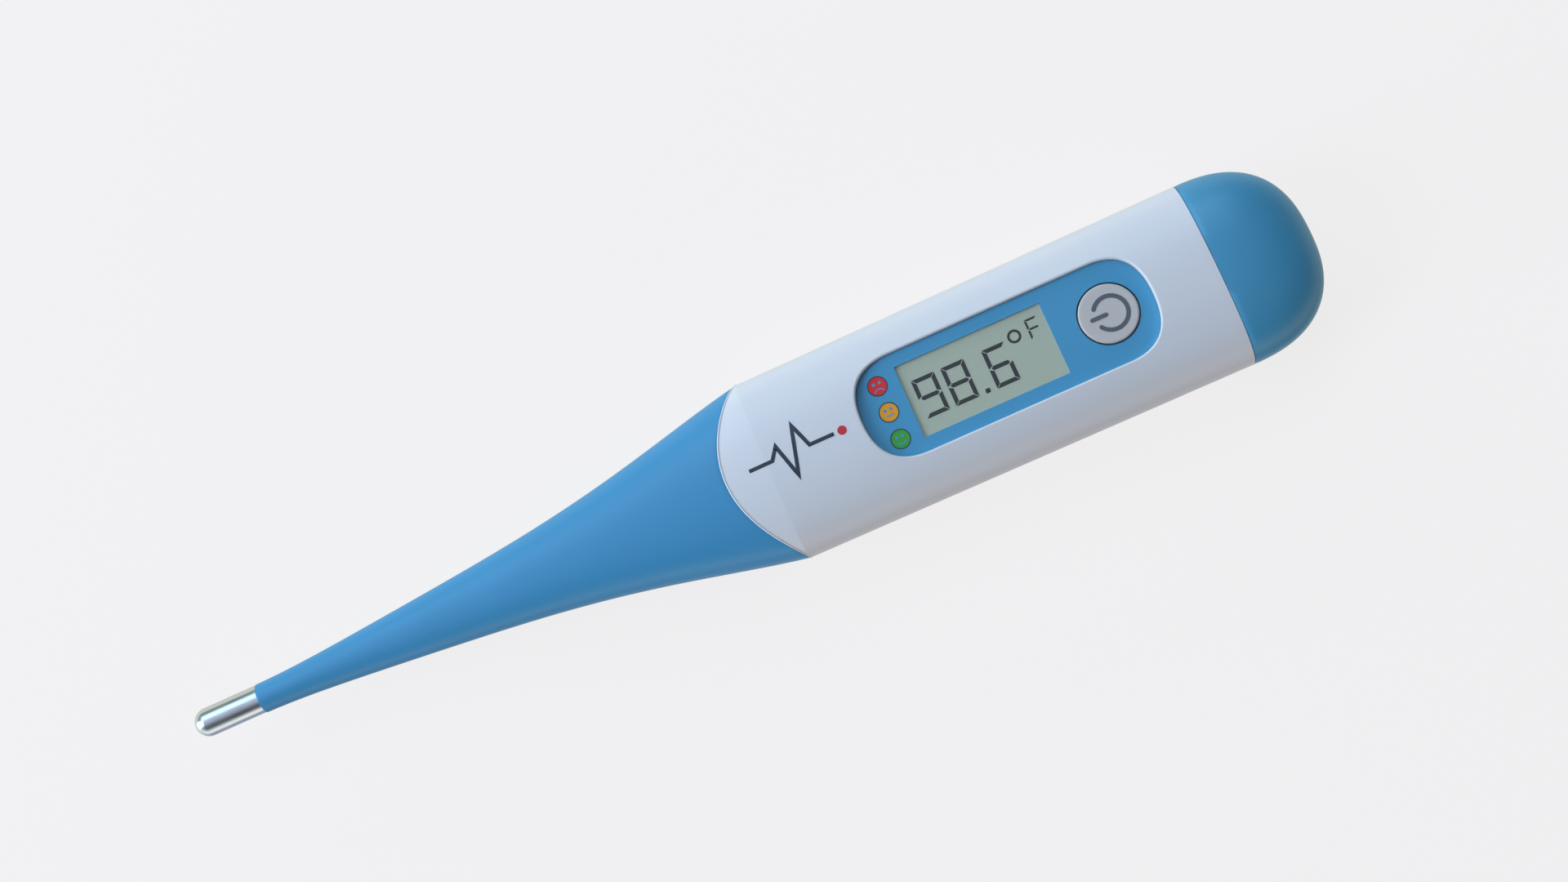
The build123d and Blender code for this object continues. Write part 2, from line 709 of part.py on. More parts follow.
# The tray slides out of the chassis like a drawer. Its floor is slotted for the lower contact.
TRAY_FRONT = 47.1
TRAY_REAR = 60.2
TRAY_HALF = 5.05
TRAY_UNDER = 3.0
TRAY_TOP = 7.1
TRAY_POCKET_R = 4.0
TRAY_SLOT = (TRAY_FRONT - 1, 58.0, 1.6)  # front, rear and half-width
TRAY_CORNER_R = 0.8
with BuildPart() as battery_tray:
    with BuildSketch(Plane.XY.offset(TRAY_UNDER)):
        with Locations(((TRAY_FRONT + TRAY_REAR) / 2, 0)):
            Rectangle(TRAY_REAR - TRAY_FRONT, 2 * TRAY_HALF)
    extrude(amount=TRAY_TOP - TRAY_UNDER)
    with BuildSketch(Plane.XY.offset(CELL_UNDER)):
        with Locations((CELL_X, 0)):
            Circle(TRAY_POCKET_R)
        with Locations((CELL_X + TRAY_POCKET_R, 0)):
            Rectangle(2 * TRAY_POCKET_R, 2 * TRAY_POCKET_R)
    extrude(amount=TRAY_TOP - CELL_UNDER, mode=Mode.SUBTRACT)
    add(block(*TRAY_SLOT, TRAY_UNDER, CELL_UNDER), mode=Mode.SUBTRACT)
    fillet(battery_tray.edges().filter_by(Axis.Z).group_by(Axis.X)[0], radius=TRAY_CORNER_R)
finish(battery_tray.part, "battery_tray")

CAN_WALL = 0.3
CAN_EDGE_R = 0.25
LID_EDGE_R = 0.15
LID_R = 2.9
CELL_RIM = CELL_UNDER + 0.3
GASKET_R = CELL_R - CAN_WALL
with BuildPart() as cell_can:
    with BuildSketch(Plane.XY.offset(CELL_RIM)):
        with Locations((CELL_X, 0)):
            Circle(CELL_R)
    extrude(amount=CELL_TOP - CELL_RIM)
    fillet(cell_can.faces().sort_by(Axis.Z)[-1].edges(), radius=CAN_EDGE_R)
    with BuildSketch(Plane.XY.offset(CELL_RIM)):
        with Locations((CELL_X, 0)):
            Circle(GASKET_R)
    extrude(amount=CELL_TOP - CAN_WALL - CELL_RIM, mode=Mode.SUBTRACT)
finish(cell_can.part, "cell_can")

with BuildPart() as cell_gasket:
    with BuildSketch(Plane.XY.offset(CELL_RIM)):
        with Locations((CELL_X, 0)):
            Circle(GASKET_R)
            Circle(LID_R + 0.3, mode=Mode.SUBTRACT)
    extrude(amount=CELL_TOP - CAN_WALL - CELL_RIM)
finish(cell_gasket.part, "cell_gasket")

with BuildPart() as cell_lid:
    with BuildSketch(Plane.XY.offset(CELL_RIM)):
        with Locations((CELL_X, 0)):
            Circle(LID_R + 0.3)
    extrude(amount=CELL_TOP - CAN_WALL - CELL_RIM)
    with BuildSketch(Plane.XY.offset(CELL_UNDER)):
        with Locations((CELL_X, 0)):
            Circle(LID_R)
    extrude(amount=CELL_RIM - CELL_UNDER)
    fillet(cell_lid.faces().sort_by(Axis.Z)[0].edges(), radius=LID_EDGE_R)
finish(cell_lid.part, "cell_lid")

# ---------------------------------------------------------------- seal ring and battery cap
CAP_FRONT = CAP_X + CAP_GAP


def grown(section, margin):
    """Half-width, above, below and flat of a section, grown all round."""
    half_width, above, below, flat = section
    return (half_width + margin, above + margin, below + margin, flat + 0.3 * margin)


with BuildPart() as seal_ring:
    outside = cross_section(CAP_FRONT, *grown(SPIGOT, RING_THICK), FULL)
    inside = cross_section(CAP_X, *SPIGOT, FULL)
    extrude(outside, amount=RING_WIDTH, dir=REARWARD)
    extrude(inside, amount=2 * RING_WIDTH, dir=REARWARD, mode=Mode.SUBTRACT)
finish(seal_ring.part, "seal_ring")

# The cap's end is a superellipse in plan and in side view: each section is the body's rear
# section scaled towards the widest line.
CAP_LENGTH = CAP_END - CAP_FRONT
CAP_POWER = 2.5
CAP_TURNS = (0, 12, 26, 40, 54, 66, 76, 83, 88)


def cap_section(turn):
    """The cap's section at a turn of 0 degrees, its rim, to 90 degrees, its end."""
    reach = CAP_LENGTH * sin(radians(turn)) ** (2 / CAP_POWER)
    scale = cos(radians(turn)) ** (2 / CAP_POWER)
    sizes = (scale * size for size in (HALF_WIDTH_REAR, CROWN, BELLY, FOOT))
    return cross_section(CAP_FRONT + reach, *sizes, FULL)


CAP_POCKET_END = SPIGOT_END + 0.3
TRAY_ROOM = (6.0, 2.6, 9.0, 1.5)  # half-width, floor, ceiling and corner radius
TRAY_ROOM_DEPTH = 3.5
with BuildPart() as battery_cap:
    loft(sections=[cap_section(turn) for turn in CAP_TURNS])
    pocket = cross_section(CAP_FRONT, *grown(SPIGOT, CAP_FIT), FULL)
    extrude(pocket, amount=CAP_POCKET_END - CAP_FRONT, dir=REARWARD, mode=Mode.SUBTRACT)
    rebate = cross_section(CAP_FRONT, *grown(SPIGOT, RING_THICK + 0.05), FULL)
    extrude(rebate, amount=RING_WIDTH + 0.1, dir=REARWARD, mode=Mode.SUBTRACT)
    tray_room = rounded_tunnel(CAP_POCKET_END, *TRAY_ROOM)
    extrude(tray_room, amount=TRAY_ROOM_DEPTH, dir=REARWARD, mode=Mode.SUBTRACT)
finish(battery_cap.part, "battery_cap")
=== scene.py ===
import json
from math import atan2, cos, hypot, pi, radians, sin, sqrt

import bmesh
import bpy
import numpy as np
from mathutils import Matrix, Vector


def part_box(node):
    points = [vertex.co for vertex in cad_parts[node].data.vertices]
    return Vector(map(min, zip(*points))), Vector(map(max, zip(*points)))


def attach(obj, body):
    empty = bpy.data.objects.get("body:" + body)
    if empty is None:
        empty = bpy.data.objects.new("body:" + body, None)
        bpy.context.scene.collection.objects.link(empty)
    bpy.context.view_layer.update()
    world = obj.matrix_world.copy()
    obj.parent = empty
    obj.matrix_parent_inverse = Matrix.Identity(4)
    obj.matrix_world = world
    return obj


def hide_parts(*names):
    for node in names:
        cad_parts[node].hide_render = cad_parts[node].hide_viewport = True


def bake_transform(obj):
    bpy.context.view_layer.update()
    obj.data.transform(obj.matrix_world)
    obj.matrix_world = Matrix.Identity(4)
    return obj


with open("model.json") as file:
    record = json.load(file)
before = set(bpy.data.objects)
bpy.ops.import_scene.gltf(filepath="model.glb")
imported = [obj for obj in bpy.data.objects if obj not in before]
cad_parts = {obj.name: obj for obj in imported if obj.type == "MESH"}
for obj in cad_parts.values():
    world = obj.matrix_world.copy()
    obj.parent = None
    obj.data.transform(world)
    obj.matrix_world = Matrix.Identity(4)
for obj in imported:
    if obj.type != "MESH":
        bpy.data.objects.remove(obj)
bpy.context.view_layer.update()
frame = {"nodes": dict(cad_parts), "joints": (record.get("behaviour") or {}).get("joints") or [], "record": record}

# Looks of the digital stick thermometer. The frame's origin is the middle of the footprint: X runs
# from the metal tip to the battery cap, and the display looks up, +Z. Sizes named here are in
# millimetres, and vertices are turned into metres when a mesh is made.
MM = 0.001


def low(node):
    """Lowest corner of a CAD node, in millimetres."""
    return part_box(node)[0] / MM


def high(node):
    """Highest corner of a CAD node, in millimetres."""
    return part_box(node)[1] / MM


# ---------------------------------------------------------------- driving sizes
HINGES = [joint for joint in frame["joints"] if joint["name"].startswith("probe_")]
HINGE_X = [joint["pos_m"][0] / MM for joint in HINGES]
HINGE_PITCH = HINGE_X[0] - HINGE_X[1]
AXIS_Z = HINGES[0]["pos_m"][2] / MM

# Probe stations: x, half-width, above and below the centre line, half of the flat foot, fullness.
STATIONS = (
    (-58.0, 1.66, 1.66, 1.66, 0.1, 0.5523),
    (-44.0, 2.58, 2.2, 2.2, 0.35, 0.58),
    (-30.0, 3.97, 2.95, 3.05, 0.8, 0.61),
    (-19.0, 5.45, 3.75, 4.0, 1.6, 0.63),
    (-8.2, 7.6, 4.6, 5.15, 2.6, 0.66),
    (3.6, 10.18, 5.4, 6.2, 4.0, 0.68),
)
STATION_MIDDLE = -27.0
STATION_SPREAD = 30.0
FULL = STATIONS[-1][5]
BODY_REAR_HALF = 10.43
CROWN, BELLY, FOOT = STATIONS[-1][2:5]
SEAM_APEX_X = -1.2
SEAM_SIDE_X = STATIONS[-1][0]
SEAM_SIDE_Y = STATIONS[-1][1]
SLEEVE_FRONT = STATIONS[0][0]
SHANK_END = high("probe_tip").x
SHANK_R = 1.35
TIP_END = low("probe_tip").x
TIP_R = 1.6
TIP_BORE_R = 1.1
WIRE_BORE_R = 0.8
WIRE_R = 0.2
WIRE_Y = 0.32
PANEL_Z = high("display_bezel").z
GLASS_TOP = high("lcd_front_glass").z
INK = 0.02  # thickness of a printed mark

# ---------------------------------------------------------------- materials
NOISE_LOW, NOISE_HIGH = 0.3, 0.7  # where a noise texture's values lie, mostly
BROAD = 90  # noise scales, per metre
FINE = 420


def new_material(name):
    """An empty node material with its Principled shader."""
    material = bpy.data.materials.new(name)
    material.use_nodes = True
    return material, material.node_tree, material.node_tree.nodes["Principled BSDF"]


def noise(tree, scale, stretch=(1, 1, 1), detail=3.0):
    """A noise texture in the frame's own metres; stretch squeezes it along each axis."""
    place = tree.nodes.new("ShaderNodeTexCoord")
    mapping = tree.nodes.new("ShaderNodeMapping")
    mapping.inputs["Scale"].default_value = stretch
    texture = tree.nodes.new("ShaderNodeTexNoise")
    texture.inputs["Scale"].default_value = scale
    texture.inputs["Detail"].default_value = detail
    tree.links.new(place.outputs["Object"], mapping.inputs["Vector"])
    tree.links.new(mapping.outputs["Vector"], texture.inputs["Vector"])
    return texture.outputs["Fac"]


def ramp(tree, source, stops):
    """A colour ramp on a texture's factor; stops are (place, colour)."""
    node = tree.nodes.new("ShaderNodeValToRGB")
    elements = node.color_ramp.elements
    elements[0].position, elements[0].color = stops[0][0], (*stops[0][1], 1)
    elements[1].position, elements[1].color = stops[-1][0], (*stops[-1][1], 1)
    for place, colour in stops[1:-1]:
        elements.new(place).color = (*colour, 1)
    tree.links.new(source, node.inputs["Fac"])
    return node.outputs["Color"]


def between(tree, source, lowest, highest):
    """A texture's middle range spread over lowest to highest."""
    node = tree.nodes.new("ShaderNodeMapRange")
    node.inputs["From Min"].default_value = NOISE_LOW
    node.inputs["From Max"].default_value = NOISE_HIGH
    node.inputs["To Min"].default_value = lowest
    node.inputs["To Max"].default_value = highest
    tree.links.new(source, node.inputs["Value"])
    return node.outputs["Result"]


def relief(tree, shader, source, depth, strength=0.35):
    """Bump of the given depth, in millimetres, from a texture's factor."""
    node = tree.nodes.new("ShaderNodeBump")
    node.inputs["Strength"].default_value = strength
    node.inputs["Distance"].default_value = depth * MM
    tree.links.new(source, node.inputs["Height"])
    tree.links.new(node.outputs["Normal"], shader.inputs["Normal"])


def scaled(colour, factor):
    """A colour made lighter or darker, kept within white."""
    return tuple(min(1.0, channel * factor) for channel in colour)


def moulded(
    name, colour, rough, grain=5000, depth=0.01, tone=0.04, wear=0.05, stretch=(1, 1, 1), **sockets
):
    """A surface with broad tone, uneven polish and fine grain; the rest is set on the shader."""
    material, tree, shader = new_material(name)
    stops = [(NOISE_LOW, scaled(colour, 1 - tone)), (NOISE_HIGH, scaled(colour, 1 + tone))]
    tree.links.new(ramp(tree, noise(tree, BROAD, detail=4.0), stops), shader.inputs["Base Color"])
    polish = between(tree, noise(tree, FINE, detail=5.0), max(rough - wear, 0.02), rough + wear)
    tree.links.new(polish, shader.inputs["Roughness"])
    relief(tree, shader, noise(tree, grain, stretch, detail=2.0), depth)
    for socket, value in sockets.items():
        shader.inputs[socket.replace("_", " ")].default_value = value
    return material


def speckled(name, colour, second, scale, rough, width=0.12, **sockets):
    """A surface with grains of a second colour, as in sintered or filled stock."""
    material = moulded(name, colour, rough, **sockets)
    tree = material.node_tree
    shader = tree.nodes["Principled BSDF"]
    stops = [(0.5 - width, colour), (0.5 + width, second)]
    tree.links.new(ramp(tree, noise(tree, scale, detail=6.0), stops), shader.inputs["Base Color"])
    return material


def striped(name, colour, second, pitch, axis, rough, **sockets):
    """A surface with fine straight bands along one axis, in millimetres."""
    material = moulded(name, colour, rough, **sockets)
    tree = material.node_tree
    shader = tree.nodes["Principled BSDF"]
    place = tree.nodes.new("ShaderNodeTexCoord")
    wave = tree.nodes.new("ShaderNodeTexWave")
    wave.bands_direction = axis
    wave.inputs["Scale"].default_value = 0.314 / (pitch * MM)
    wave.inputs["Distortion"].default_value = 0.1
    tree.links.new(place.outputs["Object"], wave.inputs["Vector"])
    stops = [(0.4, colour), (0.6, second)]
    tree.links.new(ramp(tree, wave.outputs["Fac"], stops), shader.inputs["Base Color"])
    return material


def circuit(name, mask, track, rough):
    """Solder mask with lighter tracks under it."""
    material = moulded(name, mask, rough, depth=0.02, Coat_Weight=0.3)
    tree = material.node_tree
    shader = tree.nodes["Principled BSDF"]
    place = tree.nodes.new("ShaderNodeTexCoord")
    bricks = tree.nodes.new("ShaderNodeTexBrick")
    bricks.inputs["Scale"].default_value = 420
    bricks.inputs["Mortar Size"].default_value = 0.035
    bricks.inputs["Color1"].default_value = (*mask, 1)
    bricks.inputs["Color2"].default_value = (*scaled(mask, 0.85), 1)
    bricks.inputs["Mortar"].default_value = (*track, 1)
    tree.links.new(place.outputs["Object"], bricks.inputs["Vector"])
    tree.links.new(bricks.outputs["Color"], shader.inputs["Base Color"])
    return material


GOLD = (0.86, 0.62, 0.28)
MATERIALS = {
    "white_shell": moulded(
        "white_shell", (0.8, 0.805, 0.815), 0.34, grain=6000, depth=0.003, tone=0.006, wear=0.015
    ),
    "blue_sleeve": moulded(
        "blue_sleeve", (0.058, 0.315, 0.565), 0.4, grain=7000, depth=0.008, tone=0.02, wear=0.03
    ),
    "blue_cap": moulded(
        "blue_cap", (0.07, 0.335, 0.54), 0.34, grain=6000, depth=0.005, tone=0.025, wear=0.03
    ),
    "blue_panel": moulded(
        "blue_panel", (0.07, 0.35, 0.58), 0.42, grain=8000, depth=0.006, tone=0.02, wear=0.03
    ),
    "polished_steel": moulded(
        "polished_steel", (0.8, 0.9, 0.92), 0.3, grain=900, depth=0.002, tone=0.02, wear=0.03,
        stretch=(12, 1, 1), Metallic=1.0,
    ),
    "clear_lens": moulded("clear_lens", (0.9, 0.95, 0.93), 0.08, tone=0.01, wear=0.03, Alpha=0.05),
    "lcd_glass": speckled(
        "lcd_glass", (0.5, 0.55, 0.4), (0.48, 0.53, 0.38), 9000, 0.35, depth=0.001
    ),
    "lcd_ink": moulded(
        "lcd_ink", (0.018, 0.021, 0.02), 0.45, tone=0.1, depth=0.002, Specular_IOR_Level=0.25
    ),
    "light_red": moulded("light_red", (0.85, 0.03, 0.03), 0.3, depth=0.004, Coat_Weight=0.2),
    "light_amber": moulded("light_amber", (0.95, 0.4, 0.03), 0.3, depth=0.004, Coat_Weight=0.2),
    "light_green": moulded("light_green", (0.05, 0.42, 0.05), 0.3, depth=0.004, Coat_Weight=0.2),
    "grey_button": moulded(
        "grey_button", (0.63, 0.6, 0.56), 0.4, grain=8000, depth=0.006, tone=0.02, wear=0.03
    ),
    "button_ink": moulded("button_ink", (0.12, 0.13, 0.15), 0.45, tone=0.06),
    "motif_dark": moulded("motif_dark", (0.03, 0.045, 0.065), 0.4, tone=0.08),
    "motif_red": moulded("motif_red", (0.66, 0.035, 0.045), 0.4, tone=0.05),
    "wire_insulation": moulded("wire_insulation", (0.7, 0.06, 0.05), 0.38, depth=0.01, tone=0.06),
    "bead_glass": moulded("bead_glass", (0.02, 0.02, 0.025), 0.12, tone=0.2, Coat_Weight=0.5),
    "epoxy": speckled("epoxy", (0.5, 0.36, 0.14), (0.58, 0.44, 0.2), 1800, 0.25, Coat_Weight=0.4),
    "lcd_reflector": moulded(
        "lcd_reflector", (0.68, 0.74, 0.68), 0.35, stretch=(1, 20, 1), Metallic=0.8
    ),
    "white_foam": speckled("white_foam", (0.8, 0.8, 0.78), (0.66, 0.66, 0.64), 6000, 0.8, depth=0.05),
    "zebra_rubber": striped(
        "zebra_rubber", (0.02, 0.02, 0.02), (0.62, 0.34, 0.3), 0.18, "X", 0.6, depth=0.02
    ),
    "white_inner": moulded("white_inner", (0.78, 0.79, 0.8), 0.48, depth=0.012, tone=0.025),
    "silicone": moulded("silicone", (0.5, 0.52, 0.55), 0.6, depth=0.015, Sheen_Weight=0.1),
    "black_plastic": moulded("black_plastic", (0.03, 0.03, 0.033), 0.42, depth=0.012, tone=0.15),
    "green_board": circuit("green_board", (0.02, 0.2, 0.08), (0.06, 0.36, 0.16), 0.32),
    "led_epoxy": moulded("led_epoxy", (0.84, 0.8, 0.62), 0.2, tone=0.03, Coat_Weight=0.4),
    "black_epoxy": moulded("black_epoxy", (0.015, 0.015, 0.018), 0.16, tone=0.2, Coat_Weight=0.6),
    "chip_ceramic": speckled(
        "chip_ceramic", (0.4, 0.3, 0.2), (0.5, 0.4, 0.3), 4200, 0.5, depth=0.02
    ),
    "tin_can": moulded("tin_can", (0.74, 0.75, 0.76), 0.22, stretch=(1, 14, 1), Metallic=1.0),
    "brass_plate": moulded("brass_plate", (0.75, 0.55, 0.24), 0.28, stretch=(10, 1, 1), Metallic=1.0),
    "piezo_ceramic": speckled(
        "piezo_ceramic", (0.78, 0.76, 0.68), (0.66, 0.64, 0.56), 2600, 0.4, depth=0.01
    ),
    "contact_metal": moulded("contact_metal", GOLD, 0.24, stretch=(1, 18, 1), Metallic=1.0),
    "tray_blue": moulded("tray_blue", (0.1, 0.33, 0.58), 0.42, depth=0.01),
    "cell_steel": moulded("cell_steel", (0.76, 0.77, 0.78), 0.2, stretch=(1, 9, 1), Metallic=1.0),
    "cell_gasket": moulded("cell_gasket", (0.07, 0.07, 0.08), 0.5, tone=0.12),
    "seal_rubber": moulded("seal_rubber", (0.05, 0.055, 0.065), 0.62, depth=0.02, tone=0.12),
}

for part in frame["record"]["subparts"]:
    slots = frame["nodes"][part["node"]].data.materials
    slots.clear()
    slots.append(MATERIALS[part["material_slot"]])


# ---------------------------------------------------------------- mesh helpers
def finish_piece(name, mesh, material, body=None, crease=32):
    """Turn a bmesh into a smooth-shaded piece with crisp creases, riding on a body."""
    bmesh.ops.recalc_face_normals(mesh, faces=mesh.faces)
    for face in mesh.faces:
        face.smooth = True
    for edge in mesh.edges:
        edge.smooth = len(edge.link_faces) == 2 and edge.calc_face_angle() < radians(crease)
    data = bpy.data.meshes.new(name)
    mesh.to_mesh(data)
    mesh.free()
    data.materials.append(MATERIALS[material])
    piece = bpy.data.objects.new(name, data)
    bpy.context.scene.collection.objects.link(piece)
    if body:
        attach(piece, body)
    return piece


def skin_rings(mesh, rings, wrap=False):
    """Add quads between rings of the same number of points; open ends are closed with a face."""
    loops = [[mesh.verts.new([c * MM for c in point]) for point in ring] for ring in rings]
    pairs = list(zip(loops, loops[1:]))
    if wrap:
        pairs.append((loops[-1], loops[0]))
    else:
        mesh.faces.new(loops[0])
        mesh.faces.new(loops[-1])
    for one, other in pairs:
        for k in range(len(one)):
            following = (k + 1) % len(one)
            mesh.faces.new((one[k], one[following], other[following], other[k]))


def solid(name, rings, material, body=None, wrap=False, crease=32):
    """A closed piece skinned over rings."""
    mesh = bmesh.new()
    skin_rings(mesh, rings, wrap)
    return finish_piece(name, mesh, material, body, crease)


def lathe(profile, centre, axis, steps=96):
    """Rings from a profile of (along, radius) turned round an axis through centre."""
    along = Vector(axis)
    side = Vector((0, 1, 0))
    up = along.cross(side)
    rings = []
    for reach, radius in profile:
        turns = [2 * pi * k / steps for k in range(steps)]
        spokes = [side * (radius * cos(turn)) + up * (radius * sin(turn)) for turn in turns]
        rings.append([Vector(centre) + along * reach + spoke for spoke in spokes])
    return rings


def rounded(start, corner, end, steps=6):
    """Points of a quarter-turn round a corner, from start to end."""
    (x0, y0), (xc, yc), (x1, y1) = start, corner, end
    points = []
    for i in range(steps + 1):
        turn = pi / 2 * i / steps
        to_start, to_end = 1 - sin(turn), 1 - cos(turn)
        points.append((xc + (x0 - xc) * to_start + (x1 - xc) * to_end,
                       yc + (y0 - yc) * to_start + (y1 - yc) * to_end))
    return points


def plate(mesh, outline, low_z, high_z):
    """Add a flat plate with this outline of (x, y) points."""
    skin_rings(mesh, [[(x, y, z) for x, y in outline] for z in (low_z, high_z)])


def disc(centre, radius, steps=48):
    """Outline of a disc."""
    turns = [2 * pi * k / steps for k in range(steps)]
    return [(centre[0] + radius * cos(t), centre[1] + radius * sin(t)) for t in turns]


def round_end(centre, start, steps):
    """Points half-way round a centre, anticlockwise from start, without the two ends."""
    x, y = centre
    radius = hypot(start[0] - x, start[1] - y)
    first = atan2(start[1] - y, start[0] - x)
    turns = [first + pi * k / steps for k in range(1, steps)]
    return [(x + radius * cos(turn), y + radius * sin(turn)) for turn in turns]


def stroke(points, width, steps=10):
    """Outline of a round-ended stroke along a line of points."""
    left, right = [], []
    neighbours = zip(points[:1] + points[:-1], points[1:] + points[-1:])
    for (x, y), (before, after) in zip(points, neighbours):
        dx, dy = after[0] - before[0], after[1] - before[1]
        reach = width / 2 / hypot(dx, dy)
        left.append((x - dy * reach, y + dx * reach))
        right.append((x + dy * reach, y - dx * reach))
    far_end = round_end(points[-1], right[-1], steps)
    near_end = round_end(points[0], left[0], steps)
    return right + far_end + left[::-1] + near_end


def arc(centre, radius, start, end, steps=40):
    """Points of an arc, in degrees."""
    turns = [radians(start + (end - start) * k / steps) for k in range(steps + 1)]
    return [(centre[0] + radius * cos(t), centre[1] + radius * sin(t)) for t in turns]


# ---------------------------------------------------------------- cross-sections
FLAT_STEPS = 6
QUARTER_STEPS = 26


def quarter(start, first, second, end):
    """Points along one Bezier quarter, without its end."""
    points = []
    for i in range(QUARTER_STEPS):
        t = i / QUARTER_STEPS
        shares = ((1 - t) ** 3, 3 * (1 - t) ** 2 * t, 3 * (1 - t) * t * t, t**3)
        corners = (start, first, second, end)
        points.append(tuple(sum(s * p[axis] for s, p in zip(shares, corners)) for axis in (0, 1)))
    return points


def section(half_width, above, below, flat, fullness):
    """(y, z) points once round a cross-section, starting at the middle of its foot."""
    foot, crown = AXIS_Z - below, AXIS_Z + above
    side = [(flat * i / FLAT_STEPS, foot) for i in range(FLAT_STEPS)]
    side += quarter(
        (flat, foot),
        (flat + fullness * (half_width - flat), foot),
        (half_width, AXIS_Z - fullness * below),
        (half_width, AXIS_Z),
    )
    side += quarter(
        (half_width, AXIS_Z),
        (half_width, AXIS_Z + fullness * above),
        (fullness * half_width, crown),
        (0, crown),
    )
    side.append((0, crown))
    return side + [(-y, z) for y, z in side[-2:0:-1]]


def inset(points, depth):
    """Section points moved towards the centre line by a depth."""
    moved = []
    for y, z in points:
        reach = hypot(y, z - AXIS_Z)
        share = (reach - depth) / reach
        moved.append((y * share, AXIS_Z + (z - AXIS_Z) * share))
    return moved


def ring(x, points):
    """Section points placed across the stick at x."""
    return [(x, y, z) for y, z in points]


def round_bore(points, radius):
    """A round bore's points, each in line with a section point."""
    turns = [atan2(z - AXIS_Z, y) for y, z in points]
    return [(radius * cos(turn), AXIS_Z + radius * sin(turn)) for turn in turns]


station_x = np.array([station[0] for station in STATIONS])
station_shapes = np.array([station[1:] for station in STATIONS])
PROFILE = np.polyfit((station_x - STATION_MIDDLE) / STATION_SPREAD, station_shapes, 5)


def probe_section(x):
    """The probe's cross-section at x, on the one smooth curve through the stations."""
    return section(*np.polyval(PROFILE, (x - STATION_MIDDLE) / STATION_SPREAD))


def seam_x(y):
    """Where the white body meets the blue probe."""
    return SEAM_APEX_X + (SEAM_SIDE_X - SEAM_APEX_X) * (y / SEAM_SIDE_Y) ** 2


def steps_between(start, end, step):
    """Even places from start to end, both included."""
    count = max(2, round(abs(end - start) / step) + 1)
    return [start + (end - start) * i / (count - 1) for i in range(count)]


# ---------------------------------------------------------------- blue sleeve
RING_STEP = 0.2
BORE_STEP = 0.4


def bore_rings(start, end):
    """Rings along the bore from start to end: narrow for the wires, wide round the steel shank."""
    rings = []
    for x in steps_between(start, end, BORE_STEP):
        radius = SHANK_R if x < SHANK_END else WIRE_BORE_R
        rings.append(ring(x, round_bore(probe_section(x), radius)))
    return rings


def sleeve_piece(number, rear, front):
    """One length of the sleeve's skin, across one hinge."""
    outside = [ring(x, probe_section(x)) for x in steps_between(rear, front, RING_STEP)]
    rings = outside + bore_rings(front, rear)
    return solid(f"sleeve_skin_{number:02d}", rings, "blue_sleeve", wrap=True)


HALF_PITCH = HINGE_PITCH / 2
for index, x in enumerate(HINGE_X):
    piece = sleeve_piece(index + 1, x + HALF_PITCH, x - HALF_PITCH)
    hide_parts(f"sleeve_segment_{index + 1:02d}")
    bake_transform(piece)

# The sleeve's mouth grips the steel tip; its edge is rounded.
MOUTH_ROUND = 0.05
LAST_BODY = f"sleeve_{len(HINGES):02d}"
mouth_rear = HINGE_X[-1] - HALF_PITCH
mouth_places = steps_between(mouth_rear, SLEEVE_FRONT + MOUTH_ROUND, RING_STEP)
mouth = [ring(x, probe_section(x)) for x in mouth_places]
for turn in (30, 60, 90):
    depth = MOUTH_ROUND * (1 - cos(radians(turn)))
    x = SLEEVE_FRONT + MOUTH_ROUND * (1 - sin(radians(turn)))
    mouth.append(ring(x, inset(probe_section(x), depth)))
mouth += bore_rings(SLEEVE_FRONT, mouth_rear)
solid("sleeve_mouth", mouth, "blue_sleeve", LAST_BODY, wrap=True, crease=50)

# The stiff rear of the sleeve, moulded over the body's nose, up to the seam.
SEAM_DIP = 0.1  # how far the blue surface dips at the seam
SEAM_DIP_REACH = 0.3
NOSE_FRONT = -14.0
NOSE_REAR = 4.6
NOSE_FRONT_SHAPE = (4.0, 2.5, 2.7, 1.0)
NOSE_REAR_SHAPE = (7.6, 4.0, 4.4, 2.4)
BASE_STEPS = 80
SEAM_SHARES = [0.985, 0.9925, 0.997, 1.0]  # closer rings where the surface dips
base_front = HINGE_X[0] + HALF_PITCH


def nose_section(x):
    """The body's nose at x, tapered evenly."""
    share = (x - NOSE_FRONT) / (NOSE_REAR - NOSE_FRONT)
    sizes = [a + (b - a) * share for a, b in zip(NOSE_FRONT_SHAPE, NOSE_REAR_SHAPE)]
    return section(*sizes, FULL)


def at_index(section_at, x, k):
    """Point k of a section that changes with x."""
    y, z = section_at(x)[k]
    return (x, y, z)


def seam_places():
    """For each point round the probe, the x at which it meets the seam."""
    places = []
    for k in range(len(probe_section(0))):
        x = 0.0
        for _ in range(12):
            x = seam_x(probe_section(x)[k][0])
        places.append(x)
    return places


